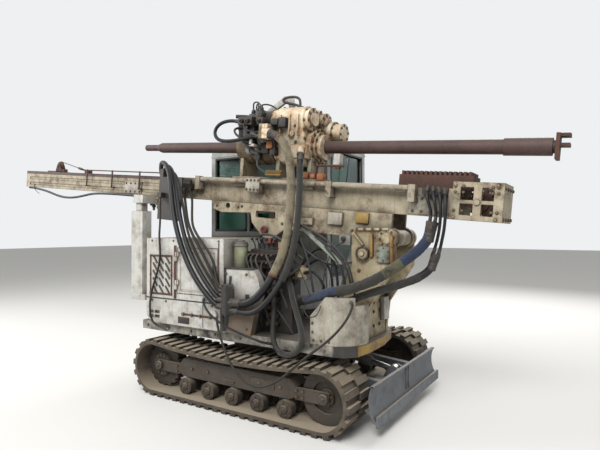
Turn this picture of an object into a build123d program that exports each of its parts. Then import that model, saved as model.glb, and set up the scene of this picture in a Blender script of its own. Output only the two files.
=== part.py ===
from build123d import *
from math import atan2, cos, degrees, pi, radians, sin, tan
import os

os.makedirs("parts", exist_ok=True)

# Crawler soil improvement machine: millimetres, +X to the blade, +Y to the cab, +Z up.
# Places are measured from the slew axis on the ground, or along the mast from its pivot.

# Tracks and lower frame
track_width = 400
track_span = 1960
wheel_gap = 1880
belt_t = 28
lug_h = 26
lug_len = 52
lug_count = 52
wheel_r = 221
sag_angle = 6.5
wheel_seat = 0.3
roller_r = 76
roller_count = 5
roller_pitch = 285
axle_r = 22
running_gap = 0.05
track_beam_w = 190
track_beam_z = (215, 385)
pedestal_w = 80
frame_z = (330, 560)
frame_half_x = 430
frame_half_y = 340
leg_w = 190
ring_r = 380
ring_h = 60
tow_z = (380, 412)
tow_r = 24

# Blade
blade_pivot = (600, 330)
blade_pin_r = 25
blade_arm_y = 350
blade_arm_w = 70
blade_back_x = 1275
blade_width = 1540
blade_bottom = 120
blade_height = 285
blade_lift_base = (500, 480)
blade_lift_eye = (1180, 340)
blade_barrel_r = 48
blade_rod_r = 25

# Upper frame
deck_z = 620.3
deck_t = 85
deck_rear = 1180
deck_front = 1215
deck_right = 890
deck_left = 930
body_right = 930
hood_front = 60
hood_rear = 1080
hood_bulge = 1400
hood_left = 30
hood_top = 1540
weight_top = 950
weight_round = 90
sheet_t = 20
skirt_rear = 820
skirt_h = 380
skirt_t = 26
box_top = 1280
engine_size = (620, 480, 420)
tank_top = 1275
bank_top = 1500
filter_r = 62

# Cab
cab_x = (-1120, 450)
cab_y = (60, 950)
cab_top = 2580
cab_wall = 45
cab_floor_t = 40
sill_z = 1620
door_x = (-560, 330)
door_gap = 5
glass_t = 6
hinge_r = 12
hinge_pin_r = 6
hinge_out = 13
hinge_h = 45

# Mast, in its own frame: s along it to the foot, h square to it, both from the pivot
tilt = 5.2
mast_y = -330
pivot_x = 1350
pivot_z = 1550
pivot_r = 45
beam_rear = 5600
beam_front = 470
beam_w = 260
beam_h = (200, 385)
beam_wall = 14
rail_h = 40
rail_w = 34
foot_front = 840
foot_w = 360
foot_top = 480
foot_wheel_r = 105
guard_h = 105
cradle_s = (-1950, 90)
cradle_w = 340
cradle_t = 30
cradle_hub_r = 68
rod_h = 765
rod_r = 57.15
rod_rear = 2950
coupling_s = (775, 1105)
coupling_r = 66
spin_gap = 0.3
head_s = (-1255, -820)
chuck_len = 480
slide_gap = 0.3
raise_base = (850, 920)
raise_eye = (-300, 60)
raise_barrel_r = 50
raise_rod_r = 28
raise_y = 95
bar_room = 45
tower_w = 480
tower_t = 40
tower_x = (1030, 1410)
tower_top = 1640
post_w = 180
post_y = (-720, -600)
saddle_gap = 0.3
feed_tube_r = 24
hanger_s = (-2530, -2200)
hanger_right = 390
nipple_r = 36
nipple_len = 270
tail_cone = 70

# Hoses
gland_fit = 0.62
collar_len = 30
wrap_x = (-10, 75)
wrap_y = (-1035, -945)
wrap_z = (872, 1138)

# Places worked out from the sizes above
lean = radians(tilt)
yoke_t = 26
yoke_s = coupling_s[1] + 20
yoke_reach = yoke_s + yoke_t + 64
rear_reach = pivot_x - beam_rear * cos(lean) + beam_h[0] * sin(lean)
yoke_r = 92
front_reach = pivot_x + yoke_reach * cos(lean) + (rod_h + yoke_r) * sin(lean)
slew_x = -(rear_reach + front_reach) / 2
wheel_x = wheel_gap / 2
outer_r = wheel_r + wheel_seat + belt_t + lug_h
track_y = (track_span - track_width) / 2
belt_floor = lug_h + belt_t
roller_z = belt_floor + wheel_seat + roller_r
deck_top = deck_z + deck_t
post_x = (-hood_bulge - post_w, -hood_bulge)

floor = Plane((slew_x, 0, 0))
side = Plane((slew_x, 0, 0), x_dir=(1, 0, 0), z_dir=(0, -1, 0))
across = Plane((slew_x, 0, 0), x_dir=(0, 1, 0), z_dir=(1, 0, 0))
pivot = Vector(slew_x + pivot_x, mast_y, pivot_z)
mast_run = Vector(cos(lean), 0, -sin(lean))
mast_up = Vector(sin(lean), 0, cos(lean))
mast_top = Plane(pivot, x_dir=mast_run, z_dir=mast_up)
mast_side = Plane(pivot, x_dir=mast_run, z_dir=(0, -1, 0))
mast_end = Plane(pivot, x_dir=(0, 1, 0), z_dir=mast_run)


def block(plane, x, y, z, mode=Mode.ADD):
    """box between two values of x and y in a plane and of z above it"""
    with BuildSketch(plane.offset(z[0])) as outline:
        with Locations(((x[0] + x[1]) / 2, (y[0] + y[1]) / 2)):
            Rectangle(x[1] - x[0], y[1] - y[0])
    extrude(outline.sketch, amount=z[1] - z[0], mode=mode)


def disc(plane, centre, radius, z, mode=Mode.ADD):
    """round bar square to a plane between two values of z above it"""
    with BuildSketch(plane.offset(z[0])) as outline:
        with Locations(centre):
            Circle(radius)
    extrude(outline.sketch, amount=z[1] - z[0], mode=mode)


def plate(plane, points, z, mode=Mode.ADD):
    """flat plate with straight edges between two values of z above a plane"""
    with BuildSketch(plane.offset(z[0])) as outline:
        Polygon(*points, align=None)
    extrude(outline.sketch, amount=z[1] - z[0], mode=mode)


def keep(builder, name):
    builder.part.label = name
    export_step(builder.part, "parts/" + name + ".step")


def hinge(axis, reach, heights, carried):
    """knuckles on a vertical pin; the carried half turns on the pin of the other"""
    for z in heights:
        low = z + hinge_h if carried else z
        disc(floor, axis, hinge_r, (low, low + hinge_h))
        block(floor, sorted((axis[0], reach[0])), sorted((axis[1], reach[1])), (low, low + hinge_h))
        if carried:
            disc(floor, axis, hinge_pin_r + running_gap, (low - 1, low + hinge_h + 1), Mode.SUBTRACT)
        else:
            disc(floor, axis, hinge_pin_r, (low, low + 2 * hinge_h))


def track_outline(out):
    """closed track path, out millimetres outside the belt's inner face"""
    r = wheel_r + wheel_seat + out
    turn = radians(sag_angle)
    top_x = wheel_x - r * sin(turn)
    top_z = outer_r + r * cos(turn)
    low_z = outer_r + r - wheel_x * tan(turn / 2)
    floor_z = outer_r - r
    Line((-wheel_x, floor_z), (wheel_x, floor_z))
    ThreePointArc((wheel_x, floor_z), (wheel_x + r, outer_r), (top_x, top_z))
    ThreePointArc((top_x, top_z), (0, low_z), (-top_x, top_z))
    ThreePointArc((-top_x, top_z), (-wheel_x - r, outer_r), (-wheel_x, floor_z))


def route_points(route):
    return [Vector(slew_x + x, y, z) for x, y, z in route[1]]


def mouth(points, end):
    """plane on a hose's end, looking back into the hose's carrier"""
    first, second = (points[0], points[1]) if end == 0 else (points[-1], points[-2])
    return Plane(first, z_dir=first - second)


def gland(route, end, length=60):
    """collar on a hose's end that reaches into what carries it"""
    disc(mouth(route_points(route), end), (0, 0), gland_fit * route[0], (0, length))


def hose(name, dia, points):
    """tube of straight runs joined by tangent arcs"""
    radii = []
    for before, corner, after in zip(points, points[1:], points[2:]):
        reach = 0.45 * min((corner - before).length, (after - corner).length)
        radii.append(reach / tan(radians((corner - before).get_angle(after - corner)) / 2))
    with BuildLine() as line:
        FilletPolyline(*points, radius=radii)
    path = line.wire()
    with BuildSketch(Plane(points[0], z_dir=points[1] - points[0])) as ring:
        Circle(dia / 2)
    pipe = sweep(ring.sketch, path=path)
    ratio = pipe.volume / (pi * dia * dia / 4 * path.length)
    shape = (round(path.length), round(min(radii)), round(ratio, 3))
    print(name, "length, least radius, volume ratio:", *shape)


# Hoses: diameter and the points of each route, from the slew axis, straight out of a gland first
head_routes = {
    "hanger_outer": (48, [
        (-1265, -545, 2180), (-1245, -600, 2250), (-1180, -660, 2310), (-1085, -732, 2330),
        (-965, -795, 2300), (-865, -850, 2225), (-785, -895, 2120), (-720, -940, 1930), (-640, -976, 1720),
        (-535, -1002, 1495), (-418, -1018, 1305), (-290, -1028, 1150), (-185, -1022, 1045),
        (-115, -1006, 975), (-65, -990, 943), (-10, -990, 943),
    ]),
    "hanger_inner": (42, [
        (-1200, -545, 2150), (-1180, -600, 2215), (-1120, -655, 2270), (-1020, -715, 2290),
        (-915, -770, 2250), (-820, -820, 2170), (-735, -870, 2055), (-655, -915, 1870), (-570, -955, 1680),
        (-465, -990, 1490), (-360, -994, 1325), (-250, -998, 1190), (-160, -1000, 1095),
        (-100, -994, 1035), (-55, -990, 1000), (-10, -990, 1000),
    ]),
    "hanger_thin": (24, [
        (-1135, -545, 2120), (-1115, -600, 2180), (-1050, -655, 2220), (-950, -712, 2225),
        (-855, -758, 2185), (-770, -800, 2105), (-690, -845, 1990), (-605, -892, 1815), (-518, -938, 1640),
        (-428, -953, 1480), (-330, -952, 1330), (-230, -952, 1208), (-147, -960, 1125), (-92, -976, 1072),
        (-50, -990, 1043), (-10, -990, 1043),
    ]),
    "hood_low": (28, [
        (-960, -545, 2060), (-905, -590, 2025), (-825, -660, 1950), (-710, -757, 1830), (-590, -852, 1700),
        (-445, -942, 1590), (-335, -958, 1462), (-250, -956, 1338), (-178, -958, 1230), (-113, -972, 1140),
        (-62, -990, 1080), (-10, -990, 1080),
    ]),
    "hood_high": (24, [
        (-860, -545, 2035), (-800, -590, 1990), (-720, -660, 1905), (-620, -765, 1785), (-510, -870, 1670),
        (-390, -940, 1585), (-290, -960, 1500), (-205, -965, 1415), (-150, -965, 1330), (-120, -975, 1240),
        (-95, -985, 1165), (-55, -990, 1111), (-10, -990, 1111),
    ]),
    "head_supply": (66, [
        (75, -990, 985), (165, -990, 985), (265, -992, 998), (350, -992, 1042), (412, -975, 1112),
        (460, -935, 1205), (497, -890, 1310), (522, -842, 1430), (537, -800, 1570), (537, -762, 1745),
        (527, -724, 1930), (505, -695, 2110), (472, -675, 2275), (415, -662, 2395), (330, -655, 2470),
        (245, -650, 2505),
    ]),
    "head_return": (50, [
        (75, -990, 915), (170, -990, 915), (280, -1000, 910), (380, -1005, 945), (458, -990, 1015),
        (512, -955, 1100), (556, -912, 1195), (588, -862, 1310), (604, -812, 1450), (612, -768, 1615),
        (610, -732, 1800), (602, -702, 1980), (592, -680, 2130), (574, -652, 2235), (552, -612, 2290),
    ]),
}
foot_routes = {
    "foot_supply": (74, [
        (1712, -575, 1650), (1697, -579, 1572), (1655, -590, 1500), (1590, -612, 1435), (1510, -652, 1368),
        (1425, -705, 1300), (1330, -760, 1232), (1220, -805, 1180), (1105, -830, 1142), (990, -836, 1126),
        (875, -812, 1083), (765, -765, 1048), (660, -712, 1020), (575, -665, 1005),
    ]),
    "foot_return": (60, [
        (1728, -545, 1405), (1708, -550, 1330), (1648, -562, 1270), (1560, -588, 1222), (1455, -628, 1183),
        (1350, -675, 1148), (1225, -712, 1105), (1090, -735, 1045), (955, -738, 985), (825, -720, 940),
        (705, -685, 914), (610, -650, 898), (545, -620, 893),
    ]),
}
foot_feeders = {
    "foot_a": (24, [
        (1668, -530, 1935), (1674, -568, 1912), (1682, -590, 1855), (1700, -582, 1798),
    ]),
    "foot_b": (24, [
        (1712, -530, 1928), (1722, -568, 1905), (1738, -598, 1852), (1749, -600, 1795),
    ]),
    "foot_c": (24, [
        (1756, -530, 1920), (1772, -570, 1895), (1786, -592, 1830), (1786, -590, 1740), (1775, -575, 1650),
        (1755, -552, 1568),
    ]),
    "foot_d": (24, [
        (1800, -530, 1908), (1814, -570, 1880), (1824, -594, 1805), (1822, -596, 1705), (1810, -588, 1612),
        (1790, -570, 1542),
    ]),
}
loop_routes = {
    "slack_loop": (44, [
        (495, -742, 1290), (535, -772, 1200), (585, -808, 1085), (645, -845, 975), (705, -880, 875),
        (752, -910, 785), (765, -930, 705), (735, -945, 640), (670, -952, 602), (590, -952, 600),
        (522, -944, 635), (484, -932, 705), (468, -912, 800), (460, -890, 895), (445, -862, 990),
        (410, -815, 1080), (365, -750, 1140),
    ]),
    "hood_drain": (20, [
        (-290, -948, 980), (-255, -988, 960), (-185, -1030, 920), (-95, -1060, 870), (5, -1070, 825),
        (110, -1070, 785), (215, -1065, 755), (310, -1050, 730), (385, -1020, 700), (430, -975, 675),
        (445, -925, 665),
    ]),
    "hanger_drain": (20, [
        (-1080, -762, 1945), (-1030, -805, 1835), (-950, -875, 1700), (-875, -955, 1550),
        (-838, -968, 1385), (-870, -966, 1240), (-935, -965, 1095), (-985, -965, 955), (-990, -968, 830),
        (-960, -972, 735), (-905, -960, 685), (-855, -925, 665),
    ]),
    "long_sag": (20, [
        (1160, -832, 1050), (1185, -862, 1040), (1196, -905, 1010), (1190, -950, 955), (1150, -990, 880),
        (1085, -1030, 800), (1005, -1050, 730), (905, -1065, 655), (805, -1080, 565),
        (700, -1090, 470), (580, -1090, 385), (440, -1080, 335), (305, -1070, 348), (175, -1055, 420),
        (75, -1040, 535), (-10, -1020, 660), (-80, -990, 765), (-130, -950, 835),
    ]),
}
bay_routes = {
    "bay_outer": (22, [
        (545, -640, 1255), (600, -640, 1330), (665, -642, 1410), (755, -645, 1465), (850, -650, 1440),
        (915, -655, 1350), (945, -660, 1230), (952, -660, 1100), (950, -650, 970), (945, -640, 860),
        (945, -635, 760),
    ]),
    "bay_middle": (22, [
        (545, -600, 1225), (605, -600, 1285), (675, -602, 1345), (755, -606, 1370), (825, -610, 1330),
        (865, -615, 1235), (878, -618, 1120), (882, -618, 990), (885, -612, 870), (888, -608, 770),
    ]),
    "bay_inner": (26, [
        (545, -675, 1170), (600, -692, 1222), (672, -700, 1262), (752, -704, 1262), (813, -702, 1205),
        (842, -692, 1120), (850, -675, 1035), (852, -662, 950), (852, -652, 865), (850, -648, 785),
    ]),
}

# A pair of thin hoses runs into the back of each thick foot hose's collar
feeder_shift = 20
feeder_lead = 60
for thick, thin, hand in (
    ("foot_supply", "foot_a", -1), ("foot_supply", "foot_b", 1),
    ("foot_return", "foot_c", -1), ("foot_return", "foot_d", 1),
):
    back = mouth(route_points(foot_routes[thick]), 0).offset(collar_len)
    seat = back.origin + back.x_dir * (feeder_shift * hand)
    for spot in (seat + back.z_dir * feeder_lead, seat):
        foot_feeders[thin][1].append((spot.X - slew_x, spot.Y, spot.Z))

# Rubber tracks: a belt with two rows of staggered lugs
for name, hand in (("track_right", 1), ("track_left", -1)):
    with BuildLine() as lug_path:
        track_outline(belt_t)
    lug_wire = lug_path.wire()
    with BuildPart() as track:
        with BuildSketch(side.offset(hand * track_y - track_width / 2)) as belt:
            with BuildLine():
                track_outline(belt_t)
            make_face()
            with BuildLine():
                track_outline(0)
            make_face(mode=Mode.SUBTRACT)
        extrude(amount=track_width)
        for row, phase in ((0, 0), (1, 0.5)):
            with BuildSketch(side.offset(hand * track_y - row * track_width / 2)) as lugs:
                for k in range(lug_count):
                    share = (k + phase) / lug_count
                    spot = lug_wire @ share
                    heading = lug_wire % share
                    with Locations(Location((spot.X, spot.Y), degrees(atan2(heading.Y, heading.X)))):
                        Rectangle(lug_len, 2 * lug_h)
                with BuildLine():
                    track_outline(belt_t / 2)
                make_face(mode=Mode.SUBTRACT)
            extrude(amount=track_width / 2)
    keep(track, name)

# Track frames with the roller pedestals, idler forks and final drive seats
for name, hand in (("track_frame_right", 1), ("track_frame_left", -1)):
    beam = side.offset(hand * track_y)
    half = track_beam_w / 2
    with BuildPart() as track_frame:
        with BuildSketch(beam.offset(-half)) as beam_side:
            with BuildLine():
                Polyline(
                    (-wheel_x + 330, track_beam_z[0]),
                    (wheel_x - 330, track_beam_z[0]),
                    (wheel_x - 270, track_beam_z[0] + 30),
                    (wheel_x - 270, track_beam_z[1] - 60),
                    (wheel_x - 330, track_beam_z[1]),
                    (-wheel_x + 330, track_beam_z[1]),
                    (-wheel_x + 270, track_beam_z[1] - 60),
                    (-wheel_x + 270, track_beam_z[0] + 30),
                    close=True,
                )
            make_face()
        extrude(amount=track_beam_w)
        for k in range(roller_count):
            x = (k - (roller_count - 1) / 2) * roller_pitch
            pedestal = [(x - 60, track_beam_z[0]), (x - 35, roller_z - 40)]
            pedestal += [(x + 35, roller_z - 40), (x + 60, track_beam_z[0])]
            plate(beam, pedestal, (-pedestal_w / 2, pedestal_w / 2))
            disc(beam, (x, roller_z), axle_r + running_gap, (-pedestal_w, pedestal_w), Mode.SUBTRACT)
        for end in (-1, 1):
            near = wheel_x - 275
            span = sorted((end * near, end * (wheel_x + 45)))
            for cheek in (-1, 1):
                web = sorted((cheek * half, cheek * (half - 22)))
                block(beam, span, (outer_r - 50, outer_r + 50), web)
            disc(beam, (end * wheel_x, outer_r), axle_r + 12 + running_gap, (-half, half), Mode.SUBTRACT)
    keep(track_frame, name)

# Rollers, idlers and sprockets ride on the track frames' axles
with BuildPart() as bottom_rollers:
    for hand in (1, -1):
        beam = side.offset(hand * track_y)
        for k in range(roller_count):
            x = (k - (roller_count - 1) / 2) * roller_pitch
            disc(beam, (x, roller_z), axle_r, (-120, 120))
            for cheek in (-1, 1):
                tread = sorted((cheek * (pedestal_w / 2 + 4), cheek * 118))
                disc(beam, (x, roller_z), roller_r, tread)
keep(bottom_rollers, "bottom_rollers")

with BuildPart() as idlers:
    for hand in (1, -1):
        beam = side.offset(hand * track_y)
        disc(beam, (wheel_x, outer_r), wheel_r, (-60, 60))
        disc(beam, (wheel_x, outer_r), 130, (-66, -40), Mode.SUBTRACT)
        disc(beam, (wheel_x, outer_r), 130, (40, 66), Mode.SUBTRACT)
        disc(beam, (wheel_x, outer_r), 70, (-68, 68))
        disc(beam, (wheel_x, outer_r), axle_r + 12, (-110, 110))
keep(idlers, "idlers")

with BuildPart() as sprockets:
    for hand in (1, -1):
        beam = side.offset(hand * track_y)
        disc(beam, (-wheel_x, outer_r), wheel_r, (-40, 40))
        with BuildSketch(beam.offset(-41)) as notches:
            with Locations((-wheel_x, outer_r)):
                with PolarLocations(wheel_r, 18):
                    Circle(19)
        extrude(notches.sketch, amount=82, mode=Mode.SUBTRACT)
        disc(beam, (-wheel_x, outer_r), 110, (-68, 68))
        disc(beam, (-wheel_x, outer_r), axle_r + 12, (-110, 110))
keep(sprockets, "sprockets")

# Centre frame between the tracks, with four legs, blade lugs and the slew bearing's seat
with BuildPart() as centre_frame:
    block(floor, (-frame_half_x, frame_half_x), (-frame_half_y, frame_half_y), frame_z)
    leg_end = track_y - track_beam_w / 2
    for x in (-1, 1):
        for y in (-1, 1):
            x_mid = x * (frame_half_x - leg_w / 2)
            reach = sorted((y * (frame_half_y - 20), y * leg_end))
            block(floor, (x_mid - leg_w / 2, x_mid + leg_w / 2), reach, (250, 380))
    disc(floor, (0, 0), ring_r, (frame_z[1], frame_z[1] + ring_h))
    for y in (-blade_arm_y, blade_arm_y):
        for gap in (-1, 1):
            lug_y = y + gap * (blade_arm_w / 2 + 20)
            lug = [(frame_half_x - 60, 270), (blade_pivot[0], 270), (blade_pivot[0] + 50, blade_pivot[1])]
            lug += [(blade_pivot[0] + 20, 395), (frame_half_x - 60, 420)]
            plate(side.offset(-lug_y), lug, (-12, 12))
        disc(side.offset(-y), blade_pivot, blade_pin_r, (-blade_arm_w / 2 - 45, blade_arm_w / 2 + 45))
    for gap in (-1, 1):
        ear = [(frame_half_x - 30, 400), (530, 440), (540, 500), (490, 530), (frame_half_x - 30, 530)]
        plate(side.offset(gap * 66), ear, (-12, 12))
    disc(side, blade_lift_base, blade_pin_r, (-90, 90))
    block(floor, (-frame_half_x - 110, -frame_half_x + 10), (-60, 60), tow_z)
    disc(floor, (-frame_half_x - 60, 0), tow_r, (tow_z[0] - 1, tow_z[1] + 1), Mode.SUBTRACT)
keep(centre_frame, "centre_frame")

# Blade: two arms on a cross tube carry a curved board with a cutting edge
board_mid = blade_bottom + 130
board_top = blade_bottom + blade_height
edge_x = blade_back_x + 60
with BuildPart() as blade_board:
    with BuildSketch(side.offset(-blade_width / 2)):
        with BuildLine():
            ThreePointArc((edge_x + 15, blade_bottom), (blade_back_x + 16, board_mid), (edge_x - 20, board_top))
            Line((edge_x - 20, board_top), (edge_x - 36, board_top))
            ThreePointArc((edge_x - 36, board_top), (blade_back_x, board_mid), (edge_x - 8, blade_bottom))
            Line((edge_x - 8, blade_bottom), (edge_x + 15, blade_bottom))
        make_face()
    extrude(amount=blade_width)
    edge_z = (blade_bottom - 25, blade_bottom + 60)
    block(floor, (edge_x, edge_x + 24), (-blade_width / 2, blade_width / 2), edge_z)
keep(blade_board, "blade_board")

blade_ear_gap = 40
with BuildPart() as blade_arms:
    arm = [(560, 296), (620, 280), (blade_back_x + 12, 200), (blade_back_x + 12, 320), (640, 376), (570, 372)]
    for y in (-blade_arm_y, blade_arm_y):
        plate(side.offset(-y), arm, (-blade_arm_w / 2 + 2, blade_arm_w / 2 - 2))
        disc(side.offset(-y), blade_pivot, blade_pin_r + running_gap, (-90, 90), Mode.SUBTRACT)
    block(floor, (1060, 1140), (-blade_arm_y, blade_arm_y), (235, 285))
    ear = [(1100, 280), (edge_x - 60, 280), (edge_x - 60, 350), (1200, 385), (1150, 375)]
    for hand in (-1, 1):
        plate(side, ear, sorted((hand * blade_ear_gap, hand * (blade_ear_gap + 20))))
    block(floor, (1060, blade_back_x + 12), (-60, 60), (235, 285))
    add(blade_board.part, mode=Mode.SUBTRACT)
keep(blade_arms, "blade_arms")


def strut(base, eye, plane, offsets, bore_r, bar_r, closed, names, pin_r):
    """hydraulic cylinders side by side between two pins in a plane"""
    run = Vector(eye[0] - base[0], eye[1] - base[1])
    length = run.length
    turn = degrees(atan2(run.Y, run.X))
    with BuildPart() as barrel:
        for shift in offsets:
            start = plane.offset(shift) * Location((base[0], base[1]), turn)
            line = Plane(start)
            disc(line, (0, 0), pin_r + 22, (-pin_r - 8, pin_r + 8))
            body = Plane(line.origin, x_dir=line.z_dir, z_dir=line.x_dir)
            disc(body, (0, 0), bore_r, (pin_r + 10, closed))
            disc(line, (0, 0), pin_r + running_gap, (-pin_r - 20, pin_r + 20), Mode.SUBTRACT)
            disc(body, (0, 0), bar_r + running_gap, (pin_r + 60, closed + 1), Mode.SUBTRACT)
    keep(barrel, names[0])
    with BuildPart() as bar:
        for shift in offsets:
            start = plane.offset(shift) * Location((base[0], base[1]), turn)
            line = Plane(start)
            body = Plane(line.origin, x_dir=line.z_dir, z_dir=line.x_dir)
            disc(body, (0, 0), bar_r, (pin_r + 60 + bar_room, length - pin_r - 10))
            disc(line, (length, 0), pin_r + 20, (-bar_r - 3, bar_r + 3))
    keep(bar, names[1])


blade_strut_names = ("blade_cylinder_barrel", "blade_cylinder_rod")
blade_closed = 470
strut(
    blade_lift_base, blade_lift_eye, side, (0,), blade_barrel_r, blade_rod_r,
    blade_closed, blade_strut_names, blade_pin_r,
)

# Slewing deck on the bearing
with BuildPart() as deck:
    with BuildSketch(floor.offset(deck_z)) as deck_plan:
        with BuildLine():
            Polyline(
                (-deck_rear, deck_left), (750, deck_left), (1000, 250), (1150, 0), (deck_front - 10, -300),
                (deck_front, -640), (1190, -790), (1110, -870), (1010, -deck_right),
                (-deck_rear, -deck_right), close=True,
            )
        make_face()
    extrude(amount=deck_t)
    for name in bay_routes:
        gland(bay_routes[name], -1, 90)
    for name in ("hood_drain", "hanger_drain"):
        gland(loop_routes[name], -1)
keep(deck, "slewing_deck")


def body_plan(inset, front):
    """plan of the rear body with its bulged back, inset millimetres inside its skin"""
    right = -body_right + inset
    left = hood_left - inset
    rear = -hood_rear
    Line((rear, right), (front, right))
    Line((front, right), (front, left))
    Line((front, left), (-hood_bulge + inset, left))
    ThreePointArc(
        (-hood_bulge + inset, left),
        (-hood_bulge + inset + 25, -400),
        (-hood_bulge + inset + 150, -700),
    )
    ThreePointArc(
        (-hood_bulge + inset + 150, -700),
        (rear - 70, right + 70),
        (rear, right),
    )


with BuildPart() as counterweight:
    with BuildSketch(floor.offset(deck_top)) as weight_plan:
        with BuildLine():
            body_plan(0, -hood_front - 40)
        make_face()
    extrude(amount=weight_top - deck_top)
    low = counterweight.edges().group_by(Axis.Z)[0]
    fillet(low.filter_by(GeomType.CIRCLE), radius=weight_round)
    for x in (-1010, -925):
        for z in (768, 812):
            vent = (body_right - 24, body_right + 1)
            block(side, (x - 34, x + 34), (z - 14, z + 14), vent, Mode.SUBTRACT)
    gland(loop_routes["long_sag"], -1)
keep(counterweight, "counterweight")

# Engine hood: a hollow shell with a slanted louvre panel and a doorway in its right side
door_span = (-650, -130)
hood_door_z = (weight_top + 60, hood_top - 90)
with BuildPart() as hood:
    with BuildSketch(floor.offset(weight_top)):
        with BuildLine():
            body_plan(0, -hood_front)
        make_face()
    extrude(amount=hood_top - weight_top)
    with BuildSketch(floor.offset(weight_top)):
        with BuildLine():
            body_plan(sheet_t, -hood_front - sheet_t)
        make_face()
    extrude(amount=hood_top - weight_top - sheet_t, mode=Mode.SUBTRACT)
    block(side, door_span, hood_door_z, (body_right - sheet_t - 1, body_right + 1), Mode.SUBTRACT)
    louvre = side.offset(body_right - sheet_t - 1)
    with BuildSketch(louvre) as slots:
        with Locations((-870, 1180)):
            with GridLocations(88, 74, 3, 5):
                SlotCenterToCenter(86, 18, rotation=-52)
    extrude(slots.sketch, amount=sheet_t + 2, mode=Mode.SUBTRACT)
    hood_hinge = (door_span[0], -body_right - hinge_out)
    hood_hinge_z = (hood_door_z[0] + 40, hood_door_z[1] - 130)
    hinge(hood_hinge, (door_span[0] - 30, -body_right), hood_hinge_z, False)
    gland(loop_routes["hood_drain"], 0, 30)
keep(hood, "engine_hood")

with BuildPart() as hood_door:
    gap = door_gap
    door_in = (door_span[0] + gap, door_span[1] - gap)
    door_up = (hood_door_z[0] + gap, hood_door_z[1] - gap)
    block(side, door_in, door_up, (body_right - sheet_t, body_right))
    hinge(hood_hinge, (door_span[0] + 30, -body_right), hood_hinge_z, True)
keep(hood_door, "hood_door")

with BuildPart() as engine:
    reach = [(low, low + size) for low, size in zip((-1000, -700, weight_top), engine_size)]
    block(floor, *reach)
keep(engine, "engine")

# Oil tank with the return filter on it, and the rounded steel box ahead of the hood
with BuildPart() as oil_tank:
    with BuildSketch(floor.offset(deck_top)):
        with Locations((-hood_front + 0.3 + 130, -690)):
            RectangleRounded(260, 330, 60)
    extrude(amount=tank_top - deck_top)
    filter_at = (14, -780)
    disc(floor, filter_at, filter_r, (tank_top - 1, bank_top + 10))
    disc(floor, filter_at, filter_r + 8, (bank_top - 30, bank_top - 8))
    disc(floor, filter_at, filter_r - 22, (bank_top + 10, bank_top + 26))
keep(oil_tank, "oil_tank")

with BuildPart() as step_box:
    with BuildSketch(side.offset(body_right - 70)):
        with BuildLine():
            Polyline((-50, deck_top), (240, deck_top), (300, 950))
            ThreePointArc((300, 950), (345, 1110), (270, box_top))
            Polyline((270, box_top), (-50, box_top), (-50, deck_top))
        make_face()
    extrude(amount=70)
keep(step_box, "tool_box")

# Valve bank: a body with rows of spools, a port plate for the slack loop and the bay hoses' unions
with BuildPart() as valve_block:
    block(floor, (240, 520), (-700, -560), (deck_top, 1330))
    block(floor, (95, 400), (-730, -560), (tank_top, bank_top - 60))
    block(floor, (150, 330), (-700, -590), (bank_top - 60, bank_top))
    for k in range(6):
        x = 120 + k * 50
        for z in (1330, 1395):
            disc(side, (x, z), 19, (700, 775))
            disc(side, (x, z), 12, (775, 800))
    for z in (790, 860, 930, 1000, 1070):
        disc(side, (300, z), 24, (690, 750))
        disc(side, (380, z), 20, (690, 735))
    block(floor, (420, 520), (-716, -700), (1150, 1330))
    block(floor, (405, 495), (-745, -620), (1330, bank_top + 10))
    gland(loop_routes["slack_loop"], 0, 80)
    gland(loop_routes["slack_loop"], -1, 100)
    for name in bay_routes:
        gland(bay_routes[name], 0)
    for name in foot_routes:
        gland(foot_routes[name], -1)
keep(valve_block, "valve_block")

# Front skirt round the right front corner of the deck
skirt_end = mast_y - tower_w / 2 - 4
with BuildPart() as front_skirt:
    with BuildSketch(floor.offset(deck_top)):
        with BuildLine():
            Line((skirt_rear, -deck_right), (1000, -deck_right))
            ThreePointArc((1000, -deck_right), (1150, -822), (1190, skirt_end))
            Line((1190, skirt_end), (1164, skirt_end))
            ThreePointArc((1164, skirt_end), (1127, -805), (1000, -deck_right + skirt_t))
            Line((1000, -deck_right + skirt_t), (skirt_rear, -deck_right + skirt_t))
            Line((skirt_rear, -deck_right + skirt_t), (skirt_rear, -deck_right))
        make_face()
    extrude(amount=skirt_h)
    skirt_top = deck_top + skirt_h + 1
    slope = [(skirt_rear - 1, skirt_top - 160), (skirt_rear - 1, skirt_top), (960, skirt_top)]
    plate(side, slope, (deck_right - skirt_t - 1, deck_right + 1), Mode.SUBTRACT)
    block(floor, (1120, 1240), (-790, skirt_end + 1), (skirt_top - 66, skirt_top), Mode.SUBTRACT)
    gland(loop_routes["long_sag"], 0, 36)
keep(front_skirt, "front_skirt")

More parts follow.
